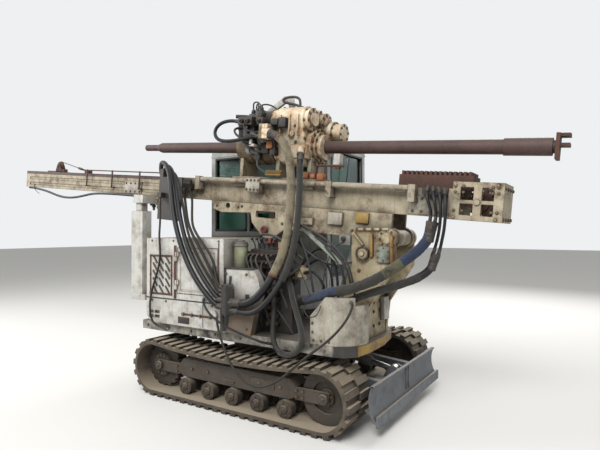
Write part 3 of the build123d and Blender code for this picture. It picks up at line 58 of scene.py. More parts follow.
# Hoses. Each route is given from the slew axis, out of one fitting and into the next; "from" and "to" are
# the bodies that carry its ends. Black rubber over wire braid, hanging under its own weight
slewX = 0.78558
hoses = {
    "hanger_outer": {"across": 0.048, "node": "head_hoses", "from": "mast", "to": "mast", "route": [
        (-1.265, -0.545, 2.18), (-1.245, -0.6, 2.25), (-1.18, -0.66, 2.31), (-1.085, -0.732, 2.33),
        (-0.965, -0.795, 2.3), (-0.865, -0.85, 2.225), (-0.785, -0.895, 2.12), (-0.72, -0.94, 1.93),
        (-0.64, -0.976, 1.72), (-0.535, -1.002, 1.495), (-0.418, -1.018, 1.305), (-0.29, -1.028, 1.15),
        (-0.185, -1.022, 1.045), (-0.115, -1.006, 0.975), (-0.065, -0.99, 0.943), (-0.01, -0.99, 0.943),
    ]},
    "hanger_inner": {"across": 0.042, "node": "head_hoses", "from": "mast", "to": "mast", "route": [
        (-1.2, -0.545, 2.15), (-1.18, -0.6, 2.215), (-1.12, -0.655, 2.27), (-1.02, -0.715, 2.29),
        (-0.915, -0.77, 2.25), (-0.82, -0.82, 2.17), (-0.735, -0.87, 2.055), (-0.655, -0.915, 1.87),
        (-0.57, -0.955, 1.68), (-0.465, -0.99, 1.49), (-0.36, -0.994, 1.325), (-0.25, -0.998, 1.19),
        (-0.16, -1, 1.095), (-0.1, -0.994, 1.035), (-0.055, -0.99, 1), (-0.01, -0.99, 1),
    ]},
    "hanger_thin": {"across": 0.024, "node": "head_hoses", "from": "mast", "to": "mast", "route": [
        (-1.135, -0.545, 2.12), (-1.115, -0.6, 2.18), (-1.05, -0.655, 2.22), (-0.95, -0.712, 2.225),
        (-0.855, -0.758, 2.185), (-0.77, -0.8, 2.105), (-0.69, -0.845, 1.99), (-0.605, -0.892, 1.815),
        (-0.518, -0.938, 1.64), (-0.428, -0.953, 1.48), (-0.33, -0.952, 1.33), (-0.23, -0.952, 1.208),
        (-0.147, -0.96, 1.125), (-0.092, -0.976, 1.072), (-0.05, -0.99, 1.043), (-0.01, -0.99, 1.043),
    ]},
    "hood_low": {"across": 0.028, "node": "head_hoses", "from": "mast", "to": "mast", "route": [
        (-0.96, -0.545, 2.06), (-0.905, -0.59, 2.025), (-0.825, -0.66, 1.95), (-0.71, -0.757, 1.83),
        (-0.59, -0.852, 1.7), (-0.445, -0.942, 1.59), (-0.335, -0.958, 1.462), (-0.25, -0.956, 1.338),
        (-0.178, -0.958, 1.23), (-0.113, -0.972, 1.14), (-0.062, -0.99, 1.08), (-0.01, -0.99, 1.08),
    ]},
    "hood_high": {"across": 0.024, "node": "head_hoses", "from": "mast", "to": "mast", "route": [
        (-0.86, -0.545, 2.035), (-0.8, -0.59, 1.99), (-0.72, -0.66, 1.905), (-0.62, -0.765, 1.785),
        (-0.51, -0.87, 1.67), (-0.39, -0.94, 1.585), (-0.29, -0.96, 1.5), (-0.205, -0.965, 1.415),
        (-0.15, -0.965, 1.33), (-0.12, -0.975, 1.24), (-0.095, -0.985, 1.165), (-0.055, -0.99, 1.111),
        (-0.01, -0.99, 1.111),
    ]},
    "head_supply": {"across": 0.066, "node": "head_hoses", "from": "mast", "to": "head", "route": [
        (0.075, -0.99, 0.985), (0.165, -0.99, 0.985), (0.265, -0.992, 0.998), (0.35, -0.992, 1.042),
        (0.412, -0.975, 1.112), (0.46, -0.935, 1.205), (0.497, -0.89, 1.31), (0.522, -0.842, 1.43),
        (0.537, -0.8, 1.57), (0.537, -0.762, 1.745), (0.527, -0.724, 1.93), (0.505, -0.695, 2.11),
        (0.472, -0.675, 2.275), (0.415, -0.662, 2.395), (0.33, -0.655, 2.47), (0.245, -0.65, 2.505),
    ]},
    "head_return": {"across": 0.05, "node": "head_hoses", "from": "mast", "to": "head", "route": [
        (0.075, -0.99, 0.915), (0.17, -0.99, 0.915), (0.28, -1, 0.91), (0.38, -1.005, 0.945),
        (0.458, -0.99, 1.015), (0.512, -0.955, 1.1), (0.556, -0.912, 1.195), (0.588, -0.862, 1.31),
        (0.604, -0.812, 1.45), (0.612, -0.768, 1.615), (0.61, -0.732, 1.8), (0.602, -0.702, 1.98),
        (0.592, -0.68, 2.13), (0.574, -0.652, 2.235), (0.552, -0.612, 2.29),
    ]},
    "foot_supply": {"across": 0.074, "node": "foot_hoses", "from": "upper", "to": "upper", "route": [
        (1.712, -0.575, 1.65), (1.697, -0.579, 1.572), (1.655, -0.59, 1.5), (1.59, -0.612, 1.435),
        (1.51, -0.652, 1.368), (1.425, -0.705, 1.3), (1.33, -0.76, 1.232), (1.22, -0.805, 1.18),
        (1.105, -0.83, 1.142), (0.99, -0.836, 1.126), (0.875, -0.812, 1.083), (0.765, -0.765, 1.048),
        (0.66, -0.712, 1.02), (0.575, -0.665, 1.005),
    ]},
    "foot_return": {"across": 0.06, "node": "foot_hoses", "from": "upper", "to": "upper", "route": [
        (1.728, -0.545, 1.405), (1.708, -0.55, 1.33), (1.648, -0.562, 1.27), (1.56, -0.588, 1.222),
        (1.455, -0.628, 1.183), (1.35, -0.675, 1.148), (1.225, -0.712, 1.105), (1.09, -0.735, 1.045),
        (0.955, -0.738, 0.985), (0.825, -0.72, 0.94), (0.705, -0.685, 0.914), (0.61, -0.65, 0.898),
        (0.545, -0.62, 0.893),
    ]},
    "foot_a": {"across": 0.024, "node": "foot_hoses", "from": "mast", "to": "upper", "route": [
        (1.668, -0.53, 1.935), (1.674, -0.568, 1.912), (1.682, -0.59, 1.855), (1.7, -0.582, 1.798),
        (1.709, -0.57, 1.742), (1.698, -0.573, 1.683),
    ]},
    "foot_b": {"across": 0.024, "node": "foot_hoses", "from": "mast", "to": "upper", "route": [
        (1.712, -0.53, 1.928), (1.722, -0.568, 1.905), (1.738, -0.598, 1.852), (1.749, -0.6, 1.795),
        (1.749, -0.57, 1.734), (1.737, -0.573, 1.676),
    ]},
    "foot_c": {"across": 0.024, "node": "foot_hoses", "from": "mast", "to": "upper", "route": [
        (1.756, -0.53, 1.92), (1.772, -0.57, 1.895), (1.786, -0.592, 1.83), (1.786, -0.59, 1.74),
        (1.775, -0.575, 1.65), (1.755, -0.552, 1.568), (1.732, -0.539, 1.497), (1.716, -0.543, 1.439),
    ]},
    "foot_d": {"across": 0.024, "node": "foot_hoses", "from": "mast", "to": "upper", "route": [
        (1.8, -0.53, 1.908), (1.814, -0.57, 1.88), (1.824, -0.594, 1.805), (1.822, -0.596, 1.705),
        (1.81, -0.588, 1.612), (1.79, -0.57, 1.542), (1.77, -0.539, 1.487), (1.755, -0.543, 1.429),
    ]},
    "slack_loop": {"across": 0.044, "node": "loop_hoses", "from": "upper", "to": "upper", "route": [
        (0.495, -0.742, 1.29), (0.535, -0.772, 1.2), (0.585, -0.808, 1.085), (0.645, -0.845, 0.975),
        (0.705, -0.88, 0.875), (0.752, -0.91, 0.785), (0.765, -0.93, 0.705), (0.735, -0.945, 0.64),
        (0.67, -0.952, 0.602), (0.59, -0.952, 0.6), (0.522, -0.944, 0.635), (0.484, -0.932, 0.705),
        (0.468, -0.912, 0.8), (0.46, -0.89, 0.895), (0.445, -0.862, 0.99), (0.41, -0.815, 1.08),
        (0.365, -0.75, 1.14),
    ]},
    "hood_drain": {"across": 0.02, "node": "loop_hoses", "from": "upper", "to": "upper", "route": [
        (-0.29, -0.948, 0.98), (-0.255, -0.988, 0.96), (-0.185, -1.03, 0.92), (-0.095, -1.06, 0.87),
        (0.005, -1.07, 0.825), (0.11, -1.07, 0.785), (0.215, -1.065, 0.755), (0.31, -1.05, 0.73),
        (0.385, -1.02, 0.7), (0.43, -0.975, 0.675), (0.445, -0.925, 0.665),
    ]},
    "hanger_drain": {"across": 0.02, "node": "loop_hoses", "from": "mast", "to": "upper", "route": [
        (-1.08, -0.762, 1.945), (-1.03, -0.805, 1.835), (-0.95, -0.875, 1.7), (-0.875, -0.955, 1.55),
        (-0.838, -0.968, 1.385), (-0.87, -0.966, 1.24), (-0.935, -0.965, 1.095), (-0.985, -0.965, 0.955),
        (-0.99, -0.968, 0.83), (-0.96, -0.972, 0.735), (-0.905, -0.96, 0.685), (-0.855, -0.925, 0.665),
    ]},
    "long_sag": {"across": 0.02, "node": "loop_hoses", "from": "upper", "to": "upper", "route": [
        (1.16, -0.832, 1.05), (1.185, -0.862, 1.04), (1.196, -0.905, 1.01), (1.19, -0.95, 0.955),
        (1.15, -0.99, 0.88), (1.085, -1.03, 0.8), (1.005, -1.05, 0.73), (0.905, -1.065, 0.655),
        (0.805, -1.08, 0.565), (0.7, -1.09, 0.47), (0.58, -1.09, 0.385), (0.44, -1.08, 0.335),
        (0.305, -1.07, 0.348), (0.175, -1.055, 0.42), (0.075, -1.04, 0.535), (-0.01, -1.02, 0.66),
        (-0.08, -0.99, 0.765), (-0.13, -0.95, 0.835),
    ]},
    "bay_outer": {"across": 0.022, "node": "bay_hoses", "from": "upper", "to": "upper", "route": [
        (0.545, -0.64, 1.255), (0.6, -0.64, 1.33), (0.665, -0.642, 1.41), (0.755, -0.645, 1.465),
        (0.85, -0.65, 1.44), (0.915, -0.655, 1.35), (0.945, -0.66, 1.23), (0.952, -0.66, 1.1),
        (0.95, -0.65, 0.97), (0.945, -0.64, 0.86), (0.945, -0.635, 0.76),
    ]},
    "bay_middle": {"across": 0.022, "node": "bay_hoses", "from": "upper", "to": "upper", "route": [
        (0.545, -0.6, 1.225), (0.605, -0.6, 1.285), (0.675, -0.602, 1.345), (0.755, -0.606, 1.37),
        (0.825, -0.61, 1.33), (0.865, -0.615, 1.235), (0.878, -0.618, 1.12), (0.882, -0.618, 0.99),
        (0.885, -0.612, 0.87), (0.888, -0.608, 0.77),
    ]},
    "bay_inner": {"across": 0.026, "node": "bay_hoses", "from": "upper", "to": "upper", "route": [
        (0.545, -0.675, 1.17), (0.6, -0.692, 1.222), (0.672, -0.7, 1.262), (0.752, -0.704, 1.262),
        (0.813, -0.702, 1.205), (0.842, -0.692, 1.12), (0.85, -0.675, 1.035), (0.852, -0.662, 0.95),
        (0.852, -0.652, 0.865), (0.85, -0.648, 0.785),
    ]},
    "head_pipe": {"across": 0.034, "node": "head_pipe_hoses", "from": "head", "to": "head", "route": [
        (-0.116, -0.63, 2.655), (-0.194, -0.635, 2.675), (-0.279, -0.64, 2.68), (-0.361, -0.645, 2.665),
        (-0.418, -0.648, 2.62), (-0.427, -0.65, 2.563), (-0.388, -0.652, 2.511), (-0.312, -0.653, 2.486),
        (-0.217, -0.652, 2.478), (-0.122, -0.648, 2.479), (-0.025, -0.642, 2.491), (0.053, -0.635, 2.499),
        (0.13, -0.635, 2.492),
    ]},
}


# Nothing selected, and one piece selected alone
def begin():
    if bpy.context.object and bpy.context.object.mode != "OBJECT":
        bpy.ops.object.mode_set(mode="OBJECT")
    bpy.ops.object.select_all(action="DESELECT")


def alone(piece):
    begin()
    piece.select_set(True)
    bpy.context.view_layer.objects.active = piece


# Curve through points, with so many steps per span and sides round it. A hose has its radius at each point
# and a depth of 1, so that its box isn't padded
def curveThrough(name, points, depth, steps, sides, radius=1.0, smooth=True):
    data = bpy.data.curves.new(name, "CURVE")
    data.dimensions = "3D"
    line = data.splines.new("NURBS" if smooth else "POLY")
    line.points.add(len(points) - 1)
    for point, place in zip(line.points, points):
        point.co = (*place, 1)
        point.radius = radius
    if smooth:
        line.order_u = 3
        line.use_endpoint_u = True
        line.resolution_u = steps
    data.bevel_depth = depth
    data.bevel_resolution = sides
    data.use_fill_caps = True
    piece = bpy.data.objects.new(name, data)
    bpy.context.collection.objects.link(piece)
    return piece


# With no thickness it is the bare line
def hoseLine(name, hose, thickness):
    route = [(x + slewX, y, z) for x, y, z in hose["route"]]
    return curveThrough(name, route, 1.0 if thickness else 0.0, 6, 4, thickness)


# Points along the middle of a hose
def middleOf(name, hose):
    line = hoseLine(name + "_middle", hose, 0)
    bare = bpy.data.meshes.new_from_object(line)
    points = [v.co.copy() for v in bare.vertices]
    bpy.data.objects.remove(line)
    return points


def makeMesh(piece):
    alone(piece)
    bpy.ops.object.convert(target="MESH")
    return bpy.context.object


hosePieces = {}
hoseMiddles = {}
for name, hose in hoses.items():
    middle = middleOf(name, hose)
    piece = hoseLine("hose_" + name, hose, hose["across"] / 2)
    if hose["from"] == hose["to"]:
        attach(piece, hose["to"])
    else:
        piece = makeMesh(piece)
        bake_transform(piece)
    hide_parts(hose["node"])
    hosePieces[name] = piece
    hoseMiddles[name] = middle
print("hoses laid:", len(hosePieces))


# sRGB hex to linear
def fromHex(code):
    parts = [int(code[k:k + 2], 16) / 255 for k in (0, 2, 4)]
    return tuple(p / 12.92 if p <= 0.04045 else ((p + 0.055) / 1.055) ** 2.4 for p in parts) + (1.0,)


def addNode(tree, kind, links=None, **settings):
    node = tree.nodes.new(kind)
    for key, value in settings.items():
        setattr(node, key, value)
    for key, value in (links or {}).items():
        if isinstance(value, bpy.types.NodeSocket):
            tree.links.new(value, node.inputs[key])
        else:
            node.inputs[key].default_value = value
    return node


def newFinish(name):
    finish = bpy.data.materials.new(name)
    finish.use_nodes = True
    tree = finish.node_tree
    tree.nodes.clear()
    shader = addNode(tree, "ShaderNodeBsdfPrincipled")
    addNode(tree, "ShaderNodeOutputMaterial", {"Surface": shader.outputs[0]})
    return finish, tree, shader


def ramp(tree, value, low, high):
    return addNode(tree, "ShaderNodeMapRange", {"Value": value, "From Min": low, "From Max": high}).outputs[0]


def mixColour(tree, share, first, second):
    node = addNode(tree, "ShaderNodeMix", {"Factor": share}, data_type="RGBA")
    for socket, value in ((node.inputs[6], first), (node.inputs[7], second)):
        if isinstance(value, bpy.types.NodeSocket):
            tree.links.new(value, socket)
        else:
            socket.default_value = fromHex(value)
    return node.outputs[2]


def sumOf(tree, kind, first, second):
    return addNode(tree, "ShaderNodeMath", {0: first, 1: second}, operation=kind, use_clamp=True).outputs[0]


# The mast's own directions, from its pivot
lean = math.radians(5.2)
mastPivot = Vector((slewX + 1.35, -0.33, 1.55))
mastRun = Vector((math.cos(lean), 0, -math.sin(lean)))
mastUp = Vector((math.sin(lean), 0, math.cos(lean)))

# Scales of the patterns, per metre: stains, mottling, flakes, a grain of 1.2 mm, and runs drawn down a face
scales = {"broad": 2.3, "mid": 8.5, "flakes": 46, "fine": 1 / (0.0012 * 8), "runs": (30, 30, 1.7)}
rustDark = "2c1a12"


# Paint or metal that has stood outdoors: stains, rust with a halo, chips on edges, runs, dust on top, and grime
# with painted shade in corners and gaps, from ambient occlusion. The amounts are those of rust patches, chips,
# runs and stains
def worn(name, base, second, rust, dirt, amounts, dust="9a8f7c", dustShare=0.35, rough=(0.45, 0.85), metal=0.0,
         relief=0.6, zone=None):
    patches, chips, runs, stains = amounts
    finish, tree, shader = newFinish(name)
    spot = addNode(tree, "ShaderNodeTexCoord").outputs["Object"]
    geometry = addNode(tree, "ShaderNodeNewGeometry")

    def noise(scale, detail, rough, vector=spot):
        links = {"Vector": vector, "Scale": scale, "Detail": detail, "Roughness": rough}
        return addNode(tree, "ShaderNodeTexNoise", links).outputs[0]

    def share(value, amount):
        return addNode(tree, "ShaderNodeMath", {0: value, 1: amount}, operation="MULTIPLY").outputs[0]

    broad = noise(scales["broad"], 6, 0.6)
    mid = noise(scales["mid"], 8, 0.65)
    flakes = noise(scales["flakes"], 10, 0.72)
    fine = noise(scales["fine"], 4, 0.6)
    stretched = addNode(tree, "ShaderNodeMapping", {"Vector": spot, "Scale": scales["runs"]}).outputs[0]
    drips = noise(1, 6, 0.62, stretched)
    bevel = addNode(tree, "ShaderNodeBevel", {"Radius": 0.008}, samples=4).outputs[0]
    along = addNode(tree, "ShaderNodeVectorMath", {0: bevel, 1: geometry.outputs["Normal"]},
                    operation="DOT_PRODUCT")
    edge = ramp(tree, along.outputs["Value"], 0.995, 0.86)
    # painted shade: corners and gaps found by ambient occlusion are darkened with the dirt colour, grime and
    # shade together
    shade = addNode(tree, "ShaderNodeAmbientOcclusion", {"Distance": 0.14}, samples=4).outputs["AO"]
    corner = ramp(tree, shade, 0.95, 0.3)
    up = addNode(tree, "ShaderNodeSeparateXYZ", {0: geometry.outputs["Normal"]}).outputs[2]
    spread = sumOf(tree, "ADD", sumOf(tree, "ADD", share(broad, 0.3), share(mid, 0.35)), share(flakes, 0.35))
    limit = 0.66 - 0.14 * patches
    patchMask = ramp(tree, spread, limit, limit + 0.018)
    halo = share(ramp(tree, spread, limit - 0.055, limit + 0.02), 0.55)
    chipMask = sumOf(tree, "MULTIPLY", edge, ramp(tree, flakes, 0.62 - 0.3 * chips, 0.68 - 0.3 * chips))
    rustMask = sumOf(tree, "MAXIMUM", patchMask, chipMask)
    runMask = sumOf(tree, "MULTIPLY", ramp(tree, drips, 0.5, 0.8), runs)
    stainMask = share(ramp(tree, sumOf(tree, "ADD", share(broad, 0.55), share(mid, 0.45)), 0.5, 0.68), stains)
    cornerGrimeAndShade = sumOf(tree, "MULTIPLY", corner, 0.85)
    dustMask = sumOf(tree, "MULTIPLY", ramp(tree, up, 0.3, 1.0), dustShare)
    tone = mixColour(tree, ramp(tree, mid, 0.35, 0.7), base, second)
    tone = mixColour(tree, sumOf(tree, "MULTIPLY", ramp(tree, fine, 0.45, 0.75), 0.3), tone, dirt)
    tone = mixColour(tree, stainMask, tone, dirt)
    tone = mixColour(tree, runMask, tone, rust)
    tone = mixColour(tree, halo, tone, rust)
    tone = mixColour(tree, cornerGrimeAndShade, tone, dirt)
    tone = mixColour(tree, rustMask, tone, mixColour(tree, ramp(tree, flakes, 0.35, 0.65), rust, rustDark))
    if zone:
        # another colour where the place lies within all the given limits, each along one direction
        limits, other = zone
        inside = 1.0
        for direction, start, full in limits:
            along = addNode(tree, "ShaderNodeVectorMath", {0: spot, 1: direction},
                            operation="DOT_PRODUCT").outputs["Value"]
            inside = sumOf(tree, "MULTIPLY", inside, ramp(tree, along, start, full))
        mottled = sumOf(tree, "MAXIMUM", ramp(tree, mid, 0.35, 0.65), rustMask)
        tone = mixColour(tree, inside, tone, mixColour(tree, mottled, other, dirt))
    tone = mixColour(tree, dustMask, tone, dust)
    tree.links.new(tone, shader.inputs["Base Color"])
    links = {"Value": sumOf(tree, "MAXIMUM", rustMask, fine), "To Min": rough[0], "To Max": rough[1]}
    tree.links.new(addNode(tree, "ShaderNodeMapRange", links).outputs[0], shader.inputs["Roughness"])
    shader.inputs["Metallic"].default_value = metal
    height = sumOf(tree, "SUBTRACT", share(fine, 0.5), share(rustMask, 0.25))
    bump = addNode(tree, "ShaderNodeBump", {"Height": height, "Strength": relief, "Distance": 0.002})
    tree.links.new(bump.outputs[0], shader.inputs["Normal"])
    return finish


# Cloth over a hose: a plain weave of 3 mm, coarser than the real 1 mm so that it shows, soaked with oil
def woven(name, base, second, dirt, soak):
    thread = 0.003
    finish, tree, shader = newFinish(name)
    spot = addNode(tree, "ShaderNodeTexCoord").outputs["Object"]
    links = {"Vector": spot, "Scale": 0.5 / thread, "Distortion": 1.5, "Detail": 1}
    weave = addNode(tree, "ShaderNodeTexWave", links, bands_direction="DIAGONAL").outputs[1]
    links = {"Vector": spot, "Scale": 11, "Detail": 7, "Roughness": 0.65}
    blots = addNode(tree, "ShaderNodeTexNoise", links).outputs[0]
    tone = mixColour(tree, ramp(tree, weave, 0.2, 0.8), base, second)
    soaked = sumOf(tree, "MULTIPLY", ramp(tree, blots, 0.62 - 0.25 * soak, 0.78 - 0.2 * soak), 0.9)
    tone = mixColour(tree, soaked, tone, dirt)
    tree.links.new(tone, shader.inputs["Base Color"])
    shader.inputs["Roughness"].default_value = 0.85
    shader.inputs["Sheen Weight"].default_value = 0.2
    bump = addNode(tree, "ShaderNodeBump", {"Height": weave, "Strength": 0.4, "Distance": 0.001})
    tree.links.new(bump.outputs[0], shader.inputs["Normal"])
    return finish


# Zones: limits along directions, each with the place where it starts and where it is full
onRun = mastPivot.dot(mastRun)
onUp = mastPivot.dot(mastUp)
bareRails = [(mastUp, onUp + 0.386, onUp + 0.387), (mastRun, onRun - 2.3, onRun - 2.45)]
dirtyFoot = [(Vector((0, 0, -1)), -1.05, -0.86)]
deckSide = [(Vector((0, -1, 0)), 0.885, 0.8895)]
# The head's rear drum is given a darker colour as painted shade
shadedDrum = [(mastRun, onRun - 1.25, onRun - 1.27), (mastUp, onUp + 0.98, onUp + 0.9)]
finishes = {
    # Alkyd enamel, sprayed off-white, chalked by sun, rust through at edges and seams
    "enamel": worn("chalked_enamel", "bfbfba", "a3a198", "6f4428", "554d42", (0.32, 0.75, 0.4, 0.6)),
    # The same on cab sheets, kept cleaner, and greyer as painted shade
    "cabEnamelShaded": worn("cab_enamel_shaded", "a9aba8", "92958f", "5f4430", "4a463e", (0.05, 0.4, 0.25, 0.35)),
    # On the mast: yellowed, with baked oil and slurry
    "mastEnamel": worn("oily_enamel", "aaa089", "7e735b", "64391f", "29221a", (0.55, 0.95, 0.6, 0.95),
                       dustShare=0.45),
    # The same on the beam, worn through to bare rails along its top
    "beamEnamel": worn("beam_enamel", "a59c86", "7e735b", "64391f", "29221a", (0.55, 0.95, 0.6, 0.95),
                       dustShare=0.3, zone=(bareRails, "4a2f26")),
    # On the front skirt: stained by the hoses over it, and greyed darker as painted shade
    "skirtEnamelShaded": worn("stained_shaded_enamel", "a5a194", "857f72", "6f4428", "3d372e", (0.35, 0.7, 0.55, 0.75)),
    # The same on the tool box, rusted and caked towards its foot
    "boxEnamel": worn("box_enamel", "bfbfba", "a3a198", "6f4428", "554d42", (0.32, 0.75, 0.4, 0.6),
                      zone=(dirtyFoot, "64503f")),
    # On the casting of the head: cream gone yellow with oil, its rear drum darker as painted shade
    "headEnamel": worn("greasy_enamel", "ded6bf", "b08a5c", "7d421d", "41301e", (0.62, 0.95, 0.6, 0.6),
                       zone=(shadedDrum, "6e5f46")),
    # On the tower, yellower and run with oil
    "towerEnamel": worn("tower_enamel", "aea387", "8c7f60", "7a4c26", "37301f", (0.5, 0.8, 0.55, 0.8)),
    # Signal yellow touch-up on edges and brackets
    "yellowPaint": worn("yellow_enamel", "967b40", "775c2e", "6f4020", "33281b", (0.5, 0.8, 0.4, 0.5)),
    # Grey enamel of tank, cylinders and brackets
    "greyPaint": worn("grey_machine_paint", "7f807a", "66665f", "5f3c28", "38332c", (0.3, 0.6, 0.4, 0.55)),
    # Blade plate, scoured to grey steel by soil
    "bladePaint": worn("scoured_plate", "6b7076", "545a61", "5b4030", "3f3b37", (0.25, 0.7, 0.3, 0.5),
                       rough=(0.4, 0.8)),
    # Mild steel without paint, rusted brown
    "rust": worn("rusted_steel", "513429", "402a22", "74421f", "261b16", (0.5, 0.5, 0.3, 0.5),
                 rough=(0.7, 0.95)),
    # Drill rod: brown mill scale, worn smooth by the clamps
    "rodSteel": worn("mill_scale_rod", "47302b", "362522", "65372a", "1f1715", (0.25, 0.4, 0.2, 0.5),
                     rough=(0.45, 0.8), dustShare=0.12),
    # Steel under grease
    "darkSteel": worn("greasy_steel", "34322f", "262422", "5a3a26", "181613", (0.3, 0.5, 0.3, 0.5),
                      rough=(0.35, 0.75), dustShare=0.2),
    # The same on the deck, pale along its painted side
    "deckSteel": worn("deck_plate", "34322f", "262422", "5a3a26", "181613", (0.3, 0.5, 0.3, 0.5),
                      rough=(0.35, 0.75), dustShare=0.2, zone=(deckSide, "8f8a80")),
    # Steel caked with dried mud
    "trackSteel": worn("caked_steel", "463e35", "332d26", "5a3b28", "26211c", (0.3, 0.5, 0.2, 0.5),
                       dustShare=0.55),
    # Track rubber under dry soil
    "rubber": worn("track_rubber", "5a5044", "463e35", "6f6250", "26211c", (0.2, 0.4, 0.15, 0.5), dust="a39681",
                   dustShare=0.75, rough=(0.75, 0.95)),
    # Hose cover: black nitrile rubber, greyed by sun, wiped with oil
    "hoseRubber": worn("hose_rubber", "121316", "1c1d20", "38322a", "0a0a0b", (0.15, 0.0, 0.1, 0.3),
                       dust="5a5246", rough=(0.35, 0.6), dustShare=0.1, relief=0.25),
    # Older hose cover, greyed and cracked
    "oldHose": worn("aged_hose_rubber", "2b2823", "1e1c18", "453c2f", "100f0d", (0.2, 0.0, 0.2, 0.5),
                    dust="6b6152", rough=(0.5, 0.8), dustShare=0.2, relief=0.3),
    # Rubber of seals and gaskets, and black plastic
    "sealRubber": worn("seal_rubber", "1b1b1c", "242425", "3a342c", "0e0e0e", (0.05, 0.0, 0.05, 0.2),
                       rough=(0.5, 0.75), dustShare=0.15, relief=0.2),
    # Zinc plate with yellow chromate, dulled
    "zinc": worn("yellow_zinc_plate", "8d7a4e", "65583b", "5f4026", "26221c", (0.3, 0.3, 0.2, 0.6),
                 rough=(0.35, 0.7), metal=0.7, dustShare=0.15),
    # Bolts, plain steel with a brown film
    "boltSteel": worn("bolt_steel", "6f6350", "554a3c", "7a4522", "2a231b", (0.45, 0.4, 0.2, 0.5),
                      rough=(0.4, 0.75), metal=0.5),
    # Hard chrome of the piston rods
    "brightRod": worn("chromed_rod", "b9b9b6", "9a9996", "6b4a30", "3a3530", (0.05, 0.1, 0.1, 0.2),
                      rough=(0.18, 0.5), metal=1.0, relief=0.2, dustShare=0.1),
    # Seat cover
    "vinyl": worn("seat_vinyl", "2b2c2e", "222325", "3a3530", "1b1b1b", (0.0, 0.0, 0.0, 0.1), rough=(0.45, 0.7),
                  relief=0.3),
    # Grey green enamel of filters
    "filterPaint": worn("filter_enamel", "8f9478", "7a7f64", "5f4a2f", "3f3c2f", (0.1, 0.4, 0.3, 0.4)),
    # Red enamel of a valve and a cap
    "redPaint": worn("red_enamel", "6b2620", "4f1c19", "4a2a1f", "2c1a16", (0.2, 0.6, 0.2, 0.4)),
    # Feed cylinder: oil over bare and painted tube
    "tubeEnamel": worn("tube_enamel", "a59c8a", "6f6555", "5f3a24", "1f1b17", (0.6, 0.9, 0.4, 0.9)),
    # Clamp castings, bare and freshly rusted
    "orangeRust": worn("fresh_rust", "8a4d26", "a8672e", "5f331c", "2c1b13", (0.45, 0.5, 0.4, 0.5)),
    # Pale green enamel of a slat and a cover
    "paleGreen": worn("pale_green_enamel", "8f988a", "6d766b", "5f4a32", "2b2c27", (0.3, 0.6, 0.4, 0.75)),
    # Cotton cloth and tape round the hoses
    "canvas": woven("canvas_sleeve", "7f765f", "574e3a", "261f15", 0.6),
    "oldCanvas": woven("oily_canvas", "2a2823", "1c1a17", "100e0b", 0.5),
    "blueCanvas": woven("blue_sleeve", "1a2a47", "121d31", "0d0e10", 0.6),
    "oliveCanvas": woven("olive_sleeve", "56513a", "3d3928", "191710", 0.5),
    "tieTape": woven("tie_tape", "6b4526", "523418", "2a1e14", 0.4),
}

# Tempered glass with a deep green tint and a film of dust
glass, tree, shader = newFinish("tinted_glass")
shader.inputs["Base Color"].default_value = fromHex("3c7c6d")
shader.inputs["Transmission Weight"].default_value = 1.0
shader.inputs["IOR"].default_value = 1.5
spot = addNode(tree, "ShaderNodeTexCoord").outputs["Object"]
film = addNode(tree, "ShaderNodeTexNoise", {"Vector": spot, "Scale": 9, "Detail": 6}).outputs[0]
film = addNode(tree, "ShaderNodeMapRange", {"Value": film, "To Min": 0.02, "To Max": 0.3}).outputs[0]
tree.links.new(film, shader.inputs["Roughness"])
finishes["glass"] = glass

# Which finish each part of the frame wears
wears = {
    "enamel": ["counterweight", "engine_hood", "hood_door", "rest_post"],
    "boxEnamel": ["tool_box"],
    "skirtEnamelShaded": ["front_skirt"],
    "cabEnamelShaded": ["cab_shell", "cab_door"],
    "towerEnamel": ["mast_tower"],
    "beamEnamel": ["mast_beam"],
    "mastEnamel": ["mast_cradle", "mast_foot", "head_carriage"],
    "headEnamel": ["rotary_gear_case"],
    "greyPaint": ["oil_tank", "raise_cylinder_barrels", "blade_cylinder_barrel"],
    "bladePaint": ["blade_board", "blade_arms"],
    "rust": ["chain_guard", "sheave_bracket", "rod_yoke", "top_sheave", "feed_wheel"],
    "rodSteel": ["drill_rod"],
    "tubeEnamel": ["feed_cylinder"],
    "deckSteel": ["slewing_deck"],
    "darkSteel": ["engine", "valve_block", "drive_motors", "hose_hanger", "hose_manifold", "foot_hose_collars"],
    "trackSteel": ["track_frame_right", "track_frame_left", "bottom_rollers", "idlers", "sprockets",
                   "centre_frame"],
    "rubber": ["track_right", "track_left"],
    "brightRod": ["blade_cylinder_rod", "raise_cylinder_rods"],
    "vinyl": ["operator_seat"],
    "glass": ["cab_glass", "door_glass"],
}


def wear(piece, finish):
    piece.data.materials.clear()
    piece.data.materials.append(finishes[finish])


for finish, names in wears.items():
    for name in names:
        wear(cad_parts[name], finish)
rubberGloss = 0.3  # old rubber shines less than a new one
for name in ("hoseRubber", "oldHose"):
    finishes[name].node_tree.nodes["Principled BSDF"].inputs["Specular IOR Level"].default_value = rubberGloss
oldHoses = ("hanger_thin", "hood_low", "hood_high", "long_sag", "hanger_drain", "slack_loop")
for name, piece in hosePieces.items():
    wear(piece, "oldHose" if name in oldHoses else "hoseRubber")
print("finishes on", sum(len(names) for names in wears.values()), "parts")


# Ways of working on a piece: a primitive is added, shaped in edit mode, placed, and then put on its body
def editAll():
    bpy.ops.object.mode_set(mode="EDIT")
    bpy.ops.mesh.select_all(action="SELECT")


def closeShell():
    bpy.ops.mesh.select_all(action="SELECT")
    bpy.ops.mesh.normals_make_consistent(inside=False)


def applyAll(piece):
    alone(piece)
    for modifier in list(piece.modifiers):
        bpy.ops.object.modifier_apply(modifier=modifier.name)


